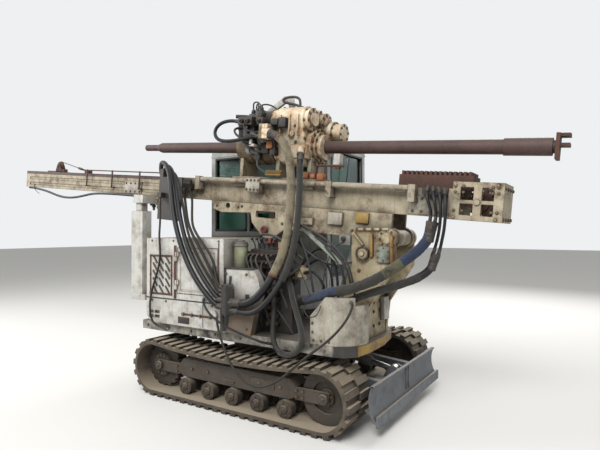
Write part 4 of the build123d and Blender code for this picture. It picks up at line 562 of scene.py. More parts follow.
# Round piece standing on z = 0: steps of (radius, height), with sides = 6 for a nut
def turned(name, steps, sides):
    begin()
    bpy.ops.mesh.primitive_circle_add(vertices=sides, radius=steps[0][0], fill_type="NGON", location=(0, 0, 0))
    piece = bpy.context.object
    piece.name = name
    piece.data.transform(Matrix.Translation((0, 0, steps[0][1])))
    editAll()
    for (radius, height), (newRadius, newHeight) in zip(steps, steps[1:]):
        bpy.ops.mesh.extrude_region_move(TRANSFORM_OT_translate={"value": (0, 0, newHeight - height)})
        share = newRadius / radius
        bpy.ops.transform.resize(value=(share, share, 1), center_override=(0, 0, newHeight))
    closeShell()
    bpy.ops.object.mode_set(mode="OBJECT")
    return piece


# Box between two corners with its edges eased
def boxPiece(name, low, high, ease=0.004, rounds=2):
    begin()
    middle = [(a + b) / 2 for a, b in zip(low, high)]
    bpy.ops.mesh.primitive_cube_add(size=1, location=(0, 0, 0))
    piece = bpy.context.object
    piece.name = name
    size = [b - a for a, b in zip(low, high)]
    editAll()
    bpy.ops.transform.resize(value=size)
    bpy.ops.transform.translate(value=middle)
    bpy.ops.mesh.bevel(offset=ease, segments=rounds, affect="EDGES")
    bpy.ops.object.mode_set(mode="OBJECT")
    return piece


# Flat outline given as points in x and y, lifted to a thickness along z
def platePiece(name, points, thick, ease):
    begin()
    bpy.ops.mesh.primitive_circle_add(vertices=len(points), radius=1, fill_type="NGON", location=(0, 0, 0))
    piece = bpy.context.object
    piece.name = name
    for vertex, (x, y) in zip(piece.data.vertices, points):
        vertex.co = (x, y, 0)
    editAll()
    bpy.ops.mesh.extrude_region_move(TRANSFORM_OT_translate={"value": (0, 0, thick)})
    closeShell()
    bpy.ops.mesh.bevel(offset=ease, segments=2, affect="EDGES")
    bpy.ops.object.mode_set(mode="OBJECT")
    return piece


# Bar, pipe or cable through points, as a mesh
def barPiece(name, points, radius, smooth=True, sides=2):
    return makeMesh(curveThrough(name, points, radius, 5, sides, smooth=smooth))


# Copies of a model at places, each with its own mesh, joined under one name
def copies(name, model, places):
    begin()
    made = []
    for place in places:
        copy = bpy.data.objects.new(name, model.data.copy())
        bpy.context.collection.objects.link(copy)
        copy.data.transform(place)
        made.append(copy)
    for copy in made:
        copy.select_set(True)
    bpy.context.view_layer.objects.active = made[0]
    bpy.ops.object.join()
    piece = bpy.context.object
    piece.name = name
    return piece


def joined(name, group):
    begin()
    for piece in group:
        piece.select_set(True)
    bpy.context.view_layer.objects.active = group[0]
    bpy.ops.object.join()
    piece = bpy.context.object
    piece.name = name
    return piece


def forget(piece):
    bpy.data.objects.remove(piece)


# Frames: the upper one starts on the slew axis, the mast's on its pivot with x along the mast to its foot
upperFrame = Matrix.Translation((slewX, 0, 0))
mastFrame = Matrix.Translation(mastPivot) @ Matrix.Rotation(lean, 4, "Y")
smoothBelow = math.radians(35)


# Last step of each piece: its place in its mesh, smooth faces, its finish and its body. The head and the mast
# are drawn in the mast's frame, all else in the upper one
def settle(piece, finish, body, frameOf=None):
    if frameOf is None:
        frameOf = mastFrame if body in ("mast", "head") else upperFrame
    piece.data.transform(piece.matrix_world)
    piece.matrix_world = Matrix.Identity(4)
    piece.data.transform(frameOf)
    alone(piece)
    bpy.ops.object.shade_smooth_by_angle(angle=smoothBelow)
    wear(piece, finish)
    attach(piece, body)


# Turn that stands z along a direction, at a place
def facing(place, along, spin=0.0, size=1.0):
    turn = Vector(along).to_track_quat("Z", "Y").to_matrix().to_4x4()
    return Matrix.Translation(place) @ turn @ Matrix.Rotation(spin, 4, "Z") @ Matrix.Scale(size, 4)


# Places round a circle
def ringOf(centre, along, radius, count, start, size):
    base = facing(centre, along)
    places = []
    for k in range(count):
        angle = start + 2 * math.pi * k / count
        places.append(base @ Matrix.Translation((radius * math.cos(angle), radius * math.sin(angle), 0)) @
                      Matrix.Rotation(angle * 1.7, 4, "Z") @ Matrix.Scale(size, 4))
    return places


# Pieces joined under one name and put on a body
def together(name, group, finish, body):
    settle(joined(name, group), finish, body)


# Boxes given by their low and high corners, as one piece
def boxes(name, rows, finish, body, ease=0.004):
    together(name, [boxPiece("part", low, high, ease) for low, high in rows], finish, body)


# Turned piece set at a place
def turnedAt(name, steps, sides, place, finish, body):
    piece = turned(name, steps, sides)
    piece.data.transform(place)
    settle(piece, finish, body)


# Box turned about y by some degrees and set at a place
def tilted(name, low, high, ease, place, degrees, finish):
    piece = boxPiece(name, low, high, ease)
    piece.data.transform(Matrix.Translation(place) @ Matrix.Rotation(math.radians(degrees), 4, "Y"))
    settle(piece, finish, "upper")


# Bolts at places, all in one piece
def bolted(name, places, body):
    settle(copies(name, bolt, places), "boltSteel", body)


# Directions of the machine
forward, backward, leftward, rightward, upward = (1, 0, 0), (-1, 0, 0), (0, 1, 0), (0, -1, 0), (0, 0, 1)

# Fittings on the hoses: a crimped ferrule and a hex nut at each end, drawn for a hose of radius 1
fitting = {"nut": [(0.9, -0.15), (1.28, -0.15), (1.32, 0.05), (1.32, 0.9), (1.2, 1.0)],
           "ferrule": [(1.05, 1.0), (1.14, 1.0), (1.15, 1.5), (1.1, 1.6), (1.15, 1.7), (1.15, 2.3), (1.1, 2.4),
                       (1.15, 2.5), (1.15, 3.2), (1.1, 3.4), (1.02, 3.45)]}
nut = turned("nut", fitting["nut"], 6)
ferrule = turned("ferrule", fitting["ferrule"], 16)
hoseEnd = joined("hose_end", [nut, ferrule])
ends = {"mast": [], "upper": [], "head": []}
for name, hose in hoses.items():
    middle = hoseMiddles[name]
    for body, tip, inner in ((hose["from"], middle[0], middle[2]), (hose["to"], middle[-1], middle[-3])):
        ends[body].append(facing(tip, inner - tip, 0.4, hose["across"] / 2))
for body, places in ends.items():
    settle(copies("hose_fittings_" + body, hoseEnd, places), "darkSteel", body,
           Matrix.Identity(4))
forget(hoseEnd)

foldSize = 0.035  # of the creases in a cloth sleeve, in metres


# Sleeve over a stretch of a hose, from one share of its length to another
def sleeve(name, hoseName, first, last, over, finish, wrinkle):
    middle = hoseMiddles[hoseName]
    count = len(middle) - 1
    stretch = middle[round(first * count):round(last * count) + 1]
    piece = barPiece(name, stretch, hoses[hoseName]["across"] / 2 + over, smooth=False, sides=5)
    if wrinkle:
        pattern = bpy.data.textures.new(name + "_folds", "CLOUDS")
        pattern.noise_scale = foldSize
        alone(piece)
        editAll()
        bpy.ops.mesh.subdivide(number_cuts=1)
        bpy.ops.object.mode_set(mode="OBJECT")
        folds = piece.modifiers.new("folds", "DISPLACE")
        folds.texture = pattern
        folds.strength = wrinkle
        folds.mid_level = 0.5
        applyAll(piece)
    hose = hoses[hoseName]
    alone(piece)
    bpy.ops.object.shade_smooth_by_angle(angle=math.radians(50))
    wear(piece, finish)
    if hose["from"] == hose["to"]:
        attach(piece, hose["to"])
    else:
        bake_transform(piece)


# name: (hose, share of its length where it starts and ends, thickness, finish, depth of its folds)
sleeves = {
    "canvas_sleeve": ("head_supply", 0.34, 0.95, 0.003, "canvas", 0.006),
    "sleeve_tie_low": ("head_supply", 0.335, 0.35, 0.006, "tieTape", 0.0),
    "sleeve_tie_high": ("head_supply", 0.93, 0.945, 0.006, "tieTape", 0.0),
    "return_sleeve": ("head_return", 0.42, 0.93, 0.003, "oldCanvas", 0.005),
    "blue_sleeve": ("foot_supply", 0.68, 0.95, 0.003, "blueCanvas", 0.012),
    "foot_sleeve": ("foot_supply", 0.42, 0.68, 0.003, "oldCanvas", 0.012),
    "olive_sleeve": ("foot_supply", 0.3, 0.42, 0.0045, "oliveCanvas", 0.01),
    "blue_sleeve_high": ("foot_supply", 0.04, 0.3, 0.003, "blueCanvas", 0.012),
    "foot_return_sleeve": ("foot_return", 0.15, 0.55, 0.002, "oldCanvas", 0.008),
    "loop_sleeve": ("slack_loop", 0.05, 0.6, 0.0015, "oldCanvas", 0.004),
}
for name, (hoseName, first, last, over, finish, wrinkle) in sleeves.items():
    sleeve(name, hoseName, first, last, over, finish, wrinkle)
print("fittings and sleeves on the hoses")

# Bundle wrap: a bound cloth over the hoses where they pass the tool box, tied twice
wrapSizes = {"x": (-0.012, 0.077), "y": (-1.037, -0.943), "z": (0.87, 1.14)}
bundle = boxPiece("bundle_wrap", *zip(wrapSizes["x"], wrapSizes["y"], wrapSizes["z"]), ease=0.03, rounds=4)
bands = [boxPiece("band", (x, -1.0385, 0.8685), (x + 0.009, -0.9415, 1.1415), ease=0.004)
         for x in (0.004, 0.05)]
bundle = joined("bundle_wrap", [bundle] + bands)
settle(bundle, "oldCanvas", "mast", upperFrame)
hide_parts("hose_wrap")

# Bolts: hex head with a washer, drawn for a 10 mm radius head and sized by each ring
washer = turned("washer", [(0.0125, 0), (0.0125, 0.0018), (0.0105, 0.0022)], 16)
hexHead = turned("head", [(0.0098, 0.002), (0.0104, 0.003), (0.0104, 0.0085), (0.0088, 0.0098)], 6)
bolt = joined("bolt", [washer, hexHead])
headRings = [
    # (place on the mast's frame, direction, radius, count, size)
    ((-0.832, 0, 0.765), forward, 0.157, 14, 1.3),
    ((-0.806, 0, 0.765), forward, 0.129, 10, 1.0),
    ((-0.85, -0.125, 1.0), forward, 0.086, 8, 1.15),
    ((-0.85, 0.125, 1.0), forward, 0.086, 8, 1.15),
    ((-0.76, 0.15, 0.915), forward, 0.101, 10, 1.0),
    ((-0.67, 0.15, 0.915), forward, 0.075, 8, 1.0),
    ((-1.255, -0.125, 1.0), backward, 0.1, 8, 1.0),
    ((-1.413, 0, 0.765), backward, 0.153, 10, 1.1),
]
places = []
for centre, along, radius, count, size in headRings:
    places += ringOf(centre, along, radius, count, 0.2, size)
# round the edge of the casting's front face, and on its right flank
for y, h in ((-0.2, 0.82), (-0.222, 0.9), (-0.235, 0.98), (-0.2, 1.075), (-0.06, 1.108), (0.06, 1.108),
             (-0.185, 0.7)):
    places.append(facing((-0.889, y * 0.96, h), forward, y * 9, 1.1))
for s in (-1.18, -1.08, -0.98):
    for h in (0.79, 0.93):
        places.append(facing((s, -0.2 - (h - 0.79) * 0.2, h), (0, -1, 0.25), s * 5, 1.1))
    places.append(facing((s, -0.125, 1.117), upward, s, 1.1))
bolted("head_bolts", places, "head")

# Raised bosses and ribs on the gear case casting
boss = turned("boss", [(0.036, 0), (0.032, 0.012), (0.022, 0.014), (0.02, 0.02)], 20)
places = [facing((-1.02, -0.222, 0.86), (0, -1, 0.2)), facing((-1.14, -0.236, 0.99), (0, -1, 0.1)),
          facing((-0.95, -0.07, 1.113), upward), facing((-1.12, 0.06, 1.113), upward),
          facing((-0.889, -0.02, 1.0), forward), facing((-0.889, -0.1, 0.9), forward, 0, 0.7),
          facing((-0.889, 0.08, 0.93), forward, 0, 0.8)]
bosses = copies("case_bosses", boss, places)
forget(boss)
ribs = []
for y in (-0.16, -0.08, 0.0, 0.08, 0.16):
    low = 1.09 if abs(y) > 0.1 else 1.108
    ribs.append(boxPiece("rib", (-1.19, y - 0.007, low), (-0.92, y + 0.007, low + 0.022), 0.004))
for s in (-1.13, -1.03, -0.94):
    ribs.append(boxPiece("rib", (s - 0.007, -0.256, 0.84), (s + 0.007, -0.2, 1.03), 0.004))
together("case_ribs", [bosses] + ribs, "headEnamel", "head")
print("gear case dressed")

# Valve gear over the motors: solenoid valves, unions, small pipes and the cut hose stub
valves = {
    "blocks": [
        ((-1.21, -0.3, 0.93), (-1.13, -0.235, 0.99)), ((-1.13, -0.29, 0.91), (-1.05, -0.235, 1.0)),
        ((-1.53, -0.22, 1.005), (-1.42, -0.03, 1.06)), ((-1.40, -0.28, 1.0), (-1.33, -0.2, 1.07)),
        ((-1.345, -0.33, 0.93), (-1.275, -0.26, 1.0)), ((-1.5, -0.05, 1.06), (-1.44, 0.03, 1.11)),
    ],
    "coils": [
        ((-1.50, -0.19, 1.06), upward, 1.0), ((-1.45, -0.19, 1.06), upward, 1.0),
        ((-1.50, -0.12, 1.06), upward, 1.15), ((-1.45, -0.10, 1.06), upward, 0.9),
        ((-1.53, -0.18, 1.03), backward, 1.1), ((-1.365, -0.24, 1.07), upward, 1.1),
        ((-1.5, -0.345, 0.965), rightward, 1.0), ((-1.43, -0.345, 0.965), rightward, 1.0),
        ((-1.31, -0.33, 0.965), rightward, 0.9),
    ],
    "pipes": [
        [(-1.50, -0.19, 1.10), (-1.50, -0.2, 1.15), (-1.47, -0.22, 1.17), (-1.40, -0.235, 1.16),
         (-1.365, -0.24, 1.11)],
        [(-1.45, -0.19, 1.10), (-1.44, -0.18, 1.14), (-1.38, -0.16, 1.16), (-1.30, -0.14, 1.14),
         (-1.27, -0.125, 1.11)],
        [(-1.50, -0.12, 1.11), (-1.52, -0.09, 1.17), (-1.56, -0.05, 1.2), (-1.60, -0.02, 1.19),
         (-1.62, 0.0, 1.15), (-1.60, 0.02, 1.08)],
        [(-1.48, -0.345, 0.94), (-1.47, -0.36, 0.9), (-1.42, -0.34, 0.87), (-1.36, -0.3, 0.86),
         (-1.30, -0.27, 0.89)],
    ],
}
group = [boxPiece("block", low, high, 0.006) for low, high in valves["blocks"]]
coil = turned("coil", [
    (0.018, 0), (0.02, 0.004), (0.02, 0.034), (0.012, 0.036), (0.012, 0.042), (0.009, 0.052),
], 14)
group.append(copies("coils", coil, [facing(place, along, 0.3, size) for place, along, size in valves["coils"]]))
forget(coil)
together("head_valves", group, "darkSteel", "head")
group = [barPiece("pipe", points, 0.0075) for points in valves["pipes"]]
clutter = [
    ((-1.66, -0.215, 0.9), (-1.6, -0.16, 0.96)), ((-1.62, -0.25, 0.84), (-1.54, -0.17, 0.9)),
    ((-1.36, -0.22, 0.68), (-1.27, -0.16, 0.77)), ((-1.24, -0.235, 0.66), (-1.18, -0.17, 0.74)),
    ((-1.44, -0.2, 0.62), (-1.38, -0.15, 0.7)),
]
group += [boxPiece("union", low, high, 0.008) for low, high in clutter]
clutterPipes = [
    [(-1.62, -0.2, 0.93), (-1.66, -0.26, 0.92), (-1.62, -0.31, 0.86), (-1.52, -0.31, 0.8), (-1.42, -0.27, 0.76),
     (-1.34, -0.2, 0.73)],
    [(-1.56, -0.22, 0.86), (-1.55, -0.28, 0.81), (-1.48, -0.28, 0.74), (-1.4, -0.23, 0.69), (-1.32, -0.2, 0.7),
     (-1.22, -0.2, 0.7)],
    [(-1.2, -0.21, 0.72), (-1.17, -0.26, 0.78), (-1.2, -0.3, 0.86), (-1.24, -0.3, 0.92)],
    [(-1.41, -0.18, 0.66), (-1.41, -0.2, 0.58), (-1.36, -0.2, 0.52), (-1.28, -0.18, 0.49)],
]
group += [barPiece("pipe", points, 0.011) for points in clutterPipes]
stub = [(-1.47, -0.1, 1.04), (-1.56, -0.12, 1.045), (-1.64, -0.15, 1.05), (-1.72, -0.18, 1.048)]
group.append(barPiece("stub", stub, 0.019, sides=4))
together("head_pipes", group, "sealRubber", "head")
# Rigid loop over the casting's top
loopPoints = [
    (-1.04, -0.07, 1.1), (-1.04, -0.07, 1.19), (-1.075, -0.07, 1.228), (-1.156, -0.07, 1.238),
    (-1.235, -0.07, 1.226), (-1.25, -0.065, 1.2), (-1.2, -0.055, 1.182), (-1.11, -0.045, 1.165),
    (-1.07, -0.04, 1.15), (-1.06, -0.04, 1.105),
]
settle(barPiece("top_pipe", loopPoints, 0.0125, sides=4), "darkSteel", "head")
# Pump housing beside the drum, a white clamp and the white lever's plate
pump = turned("pump", [
    (0.03, 0), (0.055, 0.004), (0.058, 0.05), (0.046, 0.056), (0.046, 0.11), (0.056, 0.114), (0.056, 0.14),
    (0.03, 0.15),
], 24)
places = [facing((-1.53, -0.19, 0.72), forward), facing((-1.3, -0.2, 0.83), (-1, -0.2, -0.5), 0, 0.7)]
piece = copies("side_pumps", pump, places)
forget(pump)
settle(piece, "greyPaint", "head")
clamp = [((-1.44, -0.3, 0.74), (-1.41, -0.2, 0.86)), ((-1.44, -0.3, 0.84), (-1.37, -0.2, 0.865)),
         ((-1.44, -0.3, 0.735), (-1.38, -0.2, 0.76))]
group = [boxPiece("clamp", low, high, 0.005) for low, high in clamp]
lever = platePiece("lever", [
    (-1.54, 1.106), (-1.474, 1.084), (-1.25, 1.22), (-1.205, 1.09), (-1.148, 1.09), (-1.193, 1.268),
    (-1.292, 1.268),
], 0.03, 0.003)
lever.data.transform(Matrix.Translation((0, 0.043, 0)) @ Matrix.Rotation(math.pi / 2, 4, "X"))
together("white_lever", group + [lever], "enamel", "head")
boxes("orange_union", [((-1.27, -0.26, 0.72), (-1.2, -0.19, 0.79))], "orangeRust", "head", 0.01)
print("valve gear on the head")

# Feed chain: plates and a roller for each link, along the beam and round the feed wheel
outer = [boxPiece("outer", (-0.023, y - 0.0015, -0.010), (0.023, y + 0.0015, 0.010), 0.004, 1)
         for y in (-0.013, 0.013)]
link = joined("link", outer)
roller = turned("roller", [(0.0085, -0.012), (0.0085, 0.012)], 10)
roller.data.transform(Matrix.Rotation(math.pi / 2, 4, "X"))
link = joined("link", [link, roller])
chain = {"start": -5.52, "pitch": 0.038, "links": 158, "height": 0.402, "wheel": (0.655, 0.33), "radius": 0.113,
         "wheelLinks": 11, "firstAngle": 104, "step": 20}
places = [Matrix.Translation((chain["start"] + chain["pitch"] * k, 0, chain["height"]))
          for k in range(chain["links"])]
for k in range(chain["wheelLinks"]):
    angle = math.radians(chain["firstAngle"] - chain["step"] * k)
    x = chain["wheel"][0] + chain["radius"] * math.cos(angle)
    z = chain["wheel"][1] + chain["radius"] * math.sin(angle)
    places.append(Matrix.Translation((x, 0, z)) @ Matrix.Rotation(math.pi / 2 - angle, 4, "Y"))
piece = copies("feed_chain", link, places)
forget(link)
settle(piece, "darkSteel", "mast")

# Mast: guide rod on posts, the sheave's rope with its tightener, end roller, cable under the beam, plates
mastBits = {
    "posts": (-4.12, -3.62, -3.12, -2.66),
    "guide": [(-4.2, -0.1725, 0.462), (-2.56, -0.1725, 0.462)],
    "rope": [
        (-5.05, 0, 0.44), (-5.058, 0, 0.515), (-5.036, 0, 0.562), (-4.99, 0, 0.582), (-4.955, 0, 0.572),
        (-4.34, 0, 0.455),
    ],
    "cable": [
        (-5.58, -0.09, 0.19), (-5.35, -0.14, 0.188), (-5.05, -0.145, 0.16), (-4.75, -0.145, 0.1),
        (-4.5, -0.145, 0.09), (-4.25, -0.145, 0.125), (-4.0, -0.145, 0.178), (-3.6, -0.14, 0.187),
        (-3.1, -0.14, 0.185), (-2.6, -0.16, 0.17),
    ],
    "wire": [(-5.4, -0.134, 0.25), (-5.36, -0.15, 0.2), (-5.32, -0.15, 0.15), (-5.22, -0.15, 0.115)],
}
group = [boxPiece("post", (s - 0.009, -0.178, 0.26), (s + 0.009, -0.165, 0.472), 0.002)
         for s in mastBits["posts"]]
group += [boxPiece("foot", (s - 0.009, -0.178, 0.26), (s + 0.009, -0.129, 0.275), 0.002)
          for s in mastBits["posts"]]
group.append(barPiece("guide", mastBits["guide"], 0.007, smooth=False))
group.append(barPiece("rope", mastBits["rope"], 0.005))
tightener = turned("tightener", [
    (0.008, 0), (0.013, 0.01), (0.016, 0.02), (0.016, 0.09), (0.012, 0.1), (0.012, 0.15), (0.007, 0.16),
], 12)
tightener.data.transform(facing((-4.58, 0, 0.5), (0.98, 0, -0.185)))
group.append(tightener)
group.append(boxPiece("anchor", (-4.4, -0.026, 0.424), (-4.3, 0.026, 0.47), 0.004))
for s in (-4.75, -4.22):
    group.append(boxPiece("stop", (s, -0.12, 0.424), (s + 0.03, -0.06, 0.47), 0.004))
together("mast_rigging", group, "rust", "mast")
group = [barPiece("cable", mastBits["cable"], 0.014, sides=3), barPiece("wire", mastBits["wire"], 0.0035)]
together("beam_cable", group, "hoseRubber", "mast")
endRoller = turned("roller", [
    (0.03, -0.035), (0.03, -0.03), (0.082, -0.03), (0.082, -0.018), (0.06, -0.012), (0.06, 0.012),
    (0.082, 0.018), (0.082, 0.03), (0.03, 0.03), (0.03, 0.035),
], 28)
endRoller.data.transform(Matrix.Translation((-5.62, 0, 0.33)) @ Matrix.Rotation(math.pi / 2, 4, "X"))
group = [endRoller]
for y in (-0.05, 0.05):
    group.append(boxPiece("ear", (-5.66, y - 0.007, 0.24), (-5.56, y + 0.007, 0.386), 0.006))
splices = [
    ((-3.42, -0.1365, 0.212), (-3.12, -0.1295, 0.352)), ((-1.502, -0.2305, 0.31), (-1.335, -0.2255, 0.44)),
    ((-0.581, -0.2055, 0.069), (-0.442, -0.17, 0.175)), ((0.12, -0.1365, 0.212), (0.4, -0.1295, 0.36)),
]
group += [boxPiece("plate", low, high, 0.002) for low, high in splices]
together("mast_plates", group, "skirtEnamelShaded", "mast")
places = []
for left, right, out, rows in ((-3.39, -3.15, 0.1365, (0.235, 0.33)), (0.15, 0.37, 0.1365, (0.235, 0.34)),
                               (-1.485, -1.35, 0.2305, (0.33, 0.42))):
    for k in range(4):
        for h in rows:
            places.append(facing((left + (right - left) * k / 3, -out, h), rightward, k * 7 + h))
for s in (0.49, 0.55, 0.76, 0.80):
    for h in (0.26, 0.4, 0.445):
        places.append(facing((s, -0.1805, h), rightward, s * 9))
        places.append(facing((s, 0.1805, h), leftward, s * 9))
for y in (-0.15, -0.05, 0.05, 0.15):
    for h in (0.215, 0.44):
        places.append(facing((0.8405, y, h), forward, y * 30, 1.2))
places += ringOf((0, -0.1705, 0), rightward, 0.055, 8, 0.1, 0.9)
places += ringOf((0, 0.1705, 0), leftward, 0.055, 8, 0.1, 0.9)
for s in (-1.9, -1.62, -1.08, -0.95, -0.35, -0.2):
    places.append(facing((s, -0.1705, 0.15 if s < -1.5 else 0.03), rightward, s * 8, 1.1))
bolted("mast_bolts", places, "mast")
boxes("cradle_block", [((-0.32, -0.194, 0.1), (-0.2, -0.169, 0.19))], "yellowPaint", "mast",
      0.006)
turnedAt("cradle_cap", [(0.036, 0), (0.036, 0.01), (0.03, 0.014), (0.018, 0.014), (0.018, 0.006)], 20,
         facing((-1.265, -0.196, -0.04), rightward), "redPaint", "mast")

# Couplings at the hanger and by the chain guard: pairs of yellow zinc nuts on short tubes
union = turned("union", [
    (0.011, -0.03), (0.011, -0.012), (0.021, -0.012), (0.022, 0.006), (0.015, 0.01), (0.015, 0.03),
    (0.021, 0.032), (0.021, 0.05), (0.012, 0.052), (0.012, 0.08),
], 6)
places = []
for s, h in ((-2.69, 0.2), (-2.64, 0.16), (-2.6, 0.22), (-2.57, 0.13)):
    places.append(facing((s, -0.25, h), (0.3, -0.5, -1), s * 20))
for s, h in ((-2.9, 0.12), (-2.85, 0.07), (-2.8, 0.13), (-2.77, 0.06)):
    places.append(facing((s, -0.17, h + 0.06), (0.2, -0.1, -1), s * 17, 1.15))
piece = copies("hanger_unions", union, places)
forget(union)
plates = [
    boxPiece("plate", (-2.72, -0.262, 0.2), (-2.53, -0.24, 0.235), 0.004),
    boxPiece("plate", (-2.93, -0.19, 0.17), (-2.74, -0.13, 0.215), 0.004),
    boxPiece("arm", (-2.6, -0.25, 0.2), (-2.52, -0.125, 0.23), 0.004),
]
together("hanger_unions", [piece] + plates, "zinc", "mast")
print("mast dressed")

# Head carriage: comb of grease pipes, clamp blocks at its front and the rod wiper's arm
comb = [boxPiece("bar", (-1.30, -0.2, 0.475), (-1.12, -0.155, 0.49), 0.003)]
tooth = [(-1.29, -0.195, 0.484), (-1.285, -0.205, 0.51), (-1.28, -0.18, 0.525), (-1.275, -0.16, 0.5)]
toothStep = 0.023
for k in range(8):
    comb.append(barPiece("tooth", [(s + k * toothStep, y, h) for s, y, h in tooth], 0.0065))
together("grease_comb", comb, "yellowPaint", "head")
boxes("carriage_clamps", [
    ((-0.9, -0.168, 0.462), (-0.84, -0.11, 0.52)), ((-0.82, -0.168, 0.462), (-0.77, -0.1, 0.505)),
    ((-0.75, -0.166, 0.44), (-0.68, -0.122, 0.51)), ((-0.766, -0.16, 0.432), (-0.66, -0.122, 0.448)),
], "orangeRust", "head", 0.007)
boxes("wiper_arm", [
    ((-0.78, -0.166, 0.574), (-0.5, -0.122, 0.59)), ((-0.78, -0.166, 0.46), (-0.76, -0.122, 0.59)),
    ((-0.58, -0.16, 0.555), (-0.53, -0.125, 0.576)),
], "rust", "head", 0.003)
boxes("wiper_block", [((-0.593, -0.165, 0.589), (-0.527, -0.1, 0.688))], "enamel", "head", 0.005)
places = []
for s in (-1.7, -1.62, -1.54, -0.98, -0.92, -0.80):
    for hand in (-1, 1):
        places.append(facing((s, hand * 0.1585, 0.4), (0, hand, 0), s * 11, 1.1))
        places.append(facing((s, hand * 0.135, 0.4615), upward, s * 13, 1.2))
bolted("carriage_bolts", places, "head")

# Valve bay behind the tool box: filter, valves, brackets, cap, levers with knobs, small pipes and wires
turnedAt("filter_shell", [(0.0632, 0), (0.0648, 0.004), (0.0648, 0.187), (0.0632, 0.191)], 32,
         Matrix.Translation((0.014, -0.78, 1.278)), "filterPaint", "upper")
boxes("ochre_valve", [
    ((0.4035, -0.7465, 1.332), (0.4965, -0.6185, 1.5115)), ((0.42, -0.757, 1.36), (0.48, -0.746, 1.41)),
], "yellowPaint", "upper")
boxes("red_valve", [((0.27, -0.73, 1.5), (0.35, -0.69, 1.53)), ((0.30, -0.75, 1.5), (0.325, -0.73, 1.55))],
      "redPaint", "upper")
boxes("bay_brackets", [
    ((0.515, -0.7, 1.19), (0.67, -0.6, 1.212)), ((0.93, -0.6, 1.49), (1.034, -0.525, 1.575)),
    ((0.97, -0.735, 1.335), (1.034, -0.56, 1.355)), ((-0.03, -0.63, 1.27), (0.1, -0.575, 1.42)),
], "greyPaint", "upper")
turnedAt("dome", [(0.066, 0), (0.068, 0.03), (0.062, 0.055), (0.045, 0.076), (0.02, 0.086), (0.016, 0.1)], 28,
         Matrix.Translation((0.6, -0.655, 1.211)), "towerEnamel", "upper")
turnedAt("knob", [(0.012, 0), (0.02, 0.004), (0.02, 0.016), (0.012, 0.022)], 16,
         facing((0.974, -0.601, 1.545), rightward), "sealRubber", "upper")
tilted("pale_slat", (0, -0.006, -0.02), (0.51, 0.006, 0.02), 0.004, (0.615, -0.728, 1.665), 39, "paleGreen")

levers = []
ball = turned("ball", [(0.006, 0), (0.013, 0.006), (0.015, 0.014), (0.012, 0.023), (0.005, 0.028)], 12)
for k in range(6):
    x = 0.12 + 0.05 * k
    top = x - 0.01 + 0.004 * k
    rod = [(x, -0.70, 1.438), (x, -0.705, 1.48), (top, -0.73, 1.53)]
    levers.append(barPiece("lever", rod, 0.0055, smooth=False))
    levers.append(copies("ball", ball, [facing((top, -0.73, 1.525), (-0.1, -0.4, 1))]))
forget(ball)
together("valve_levers", levers, "sealRubber", "upper")

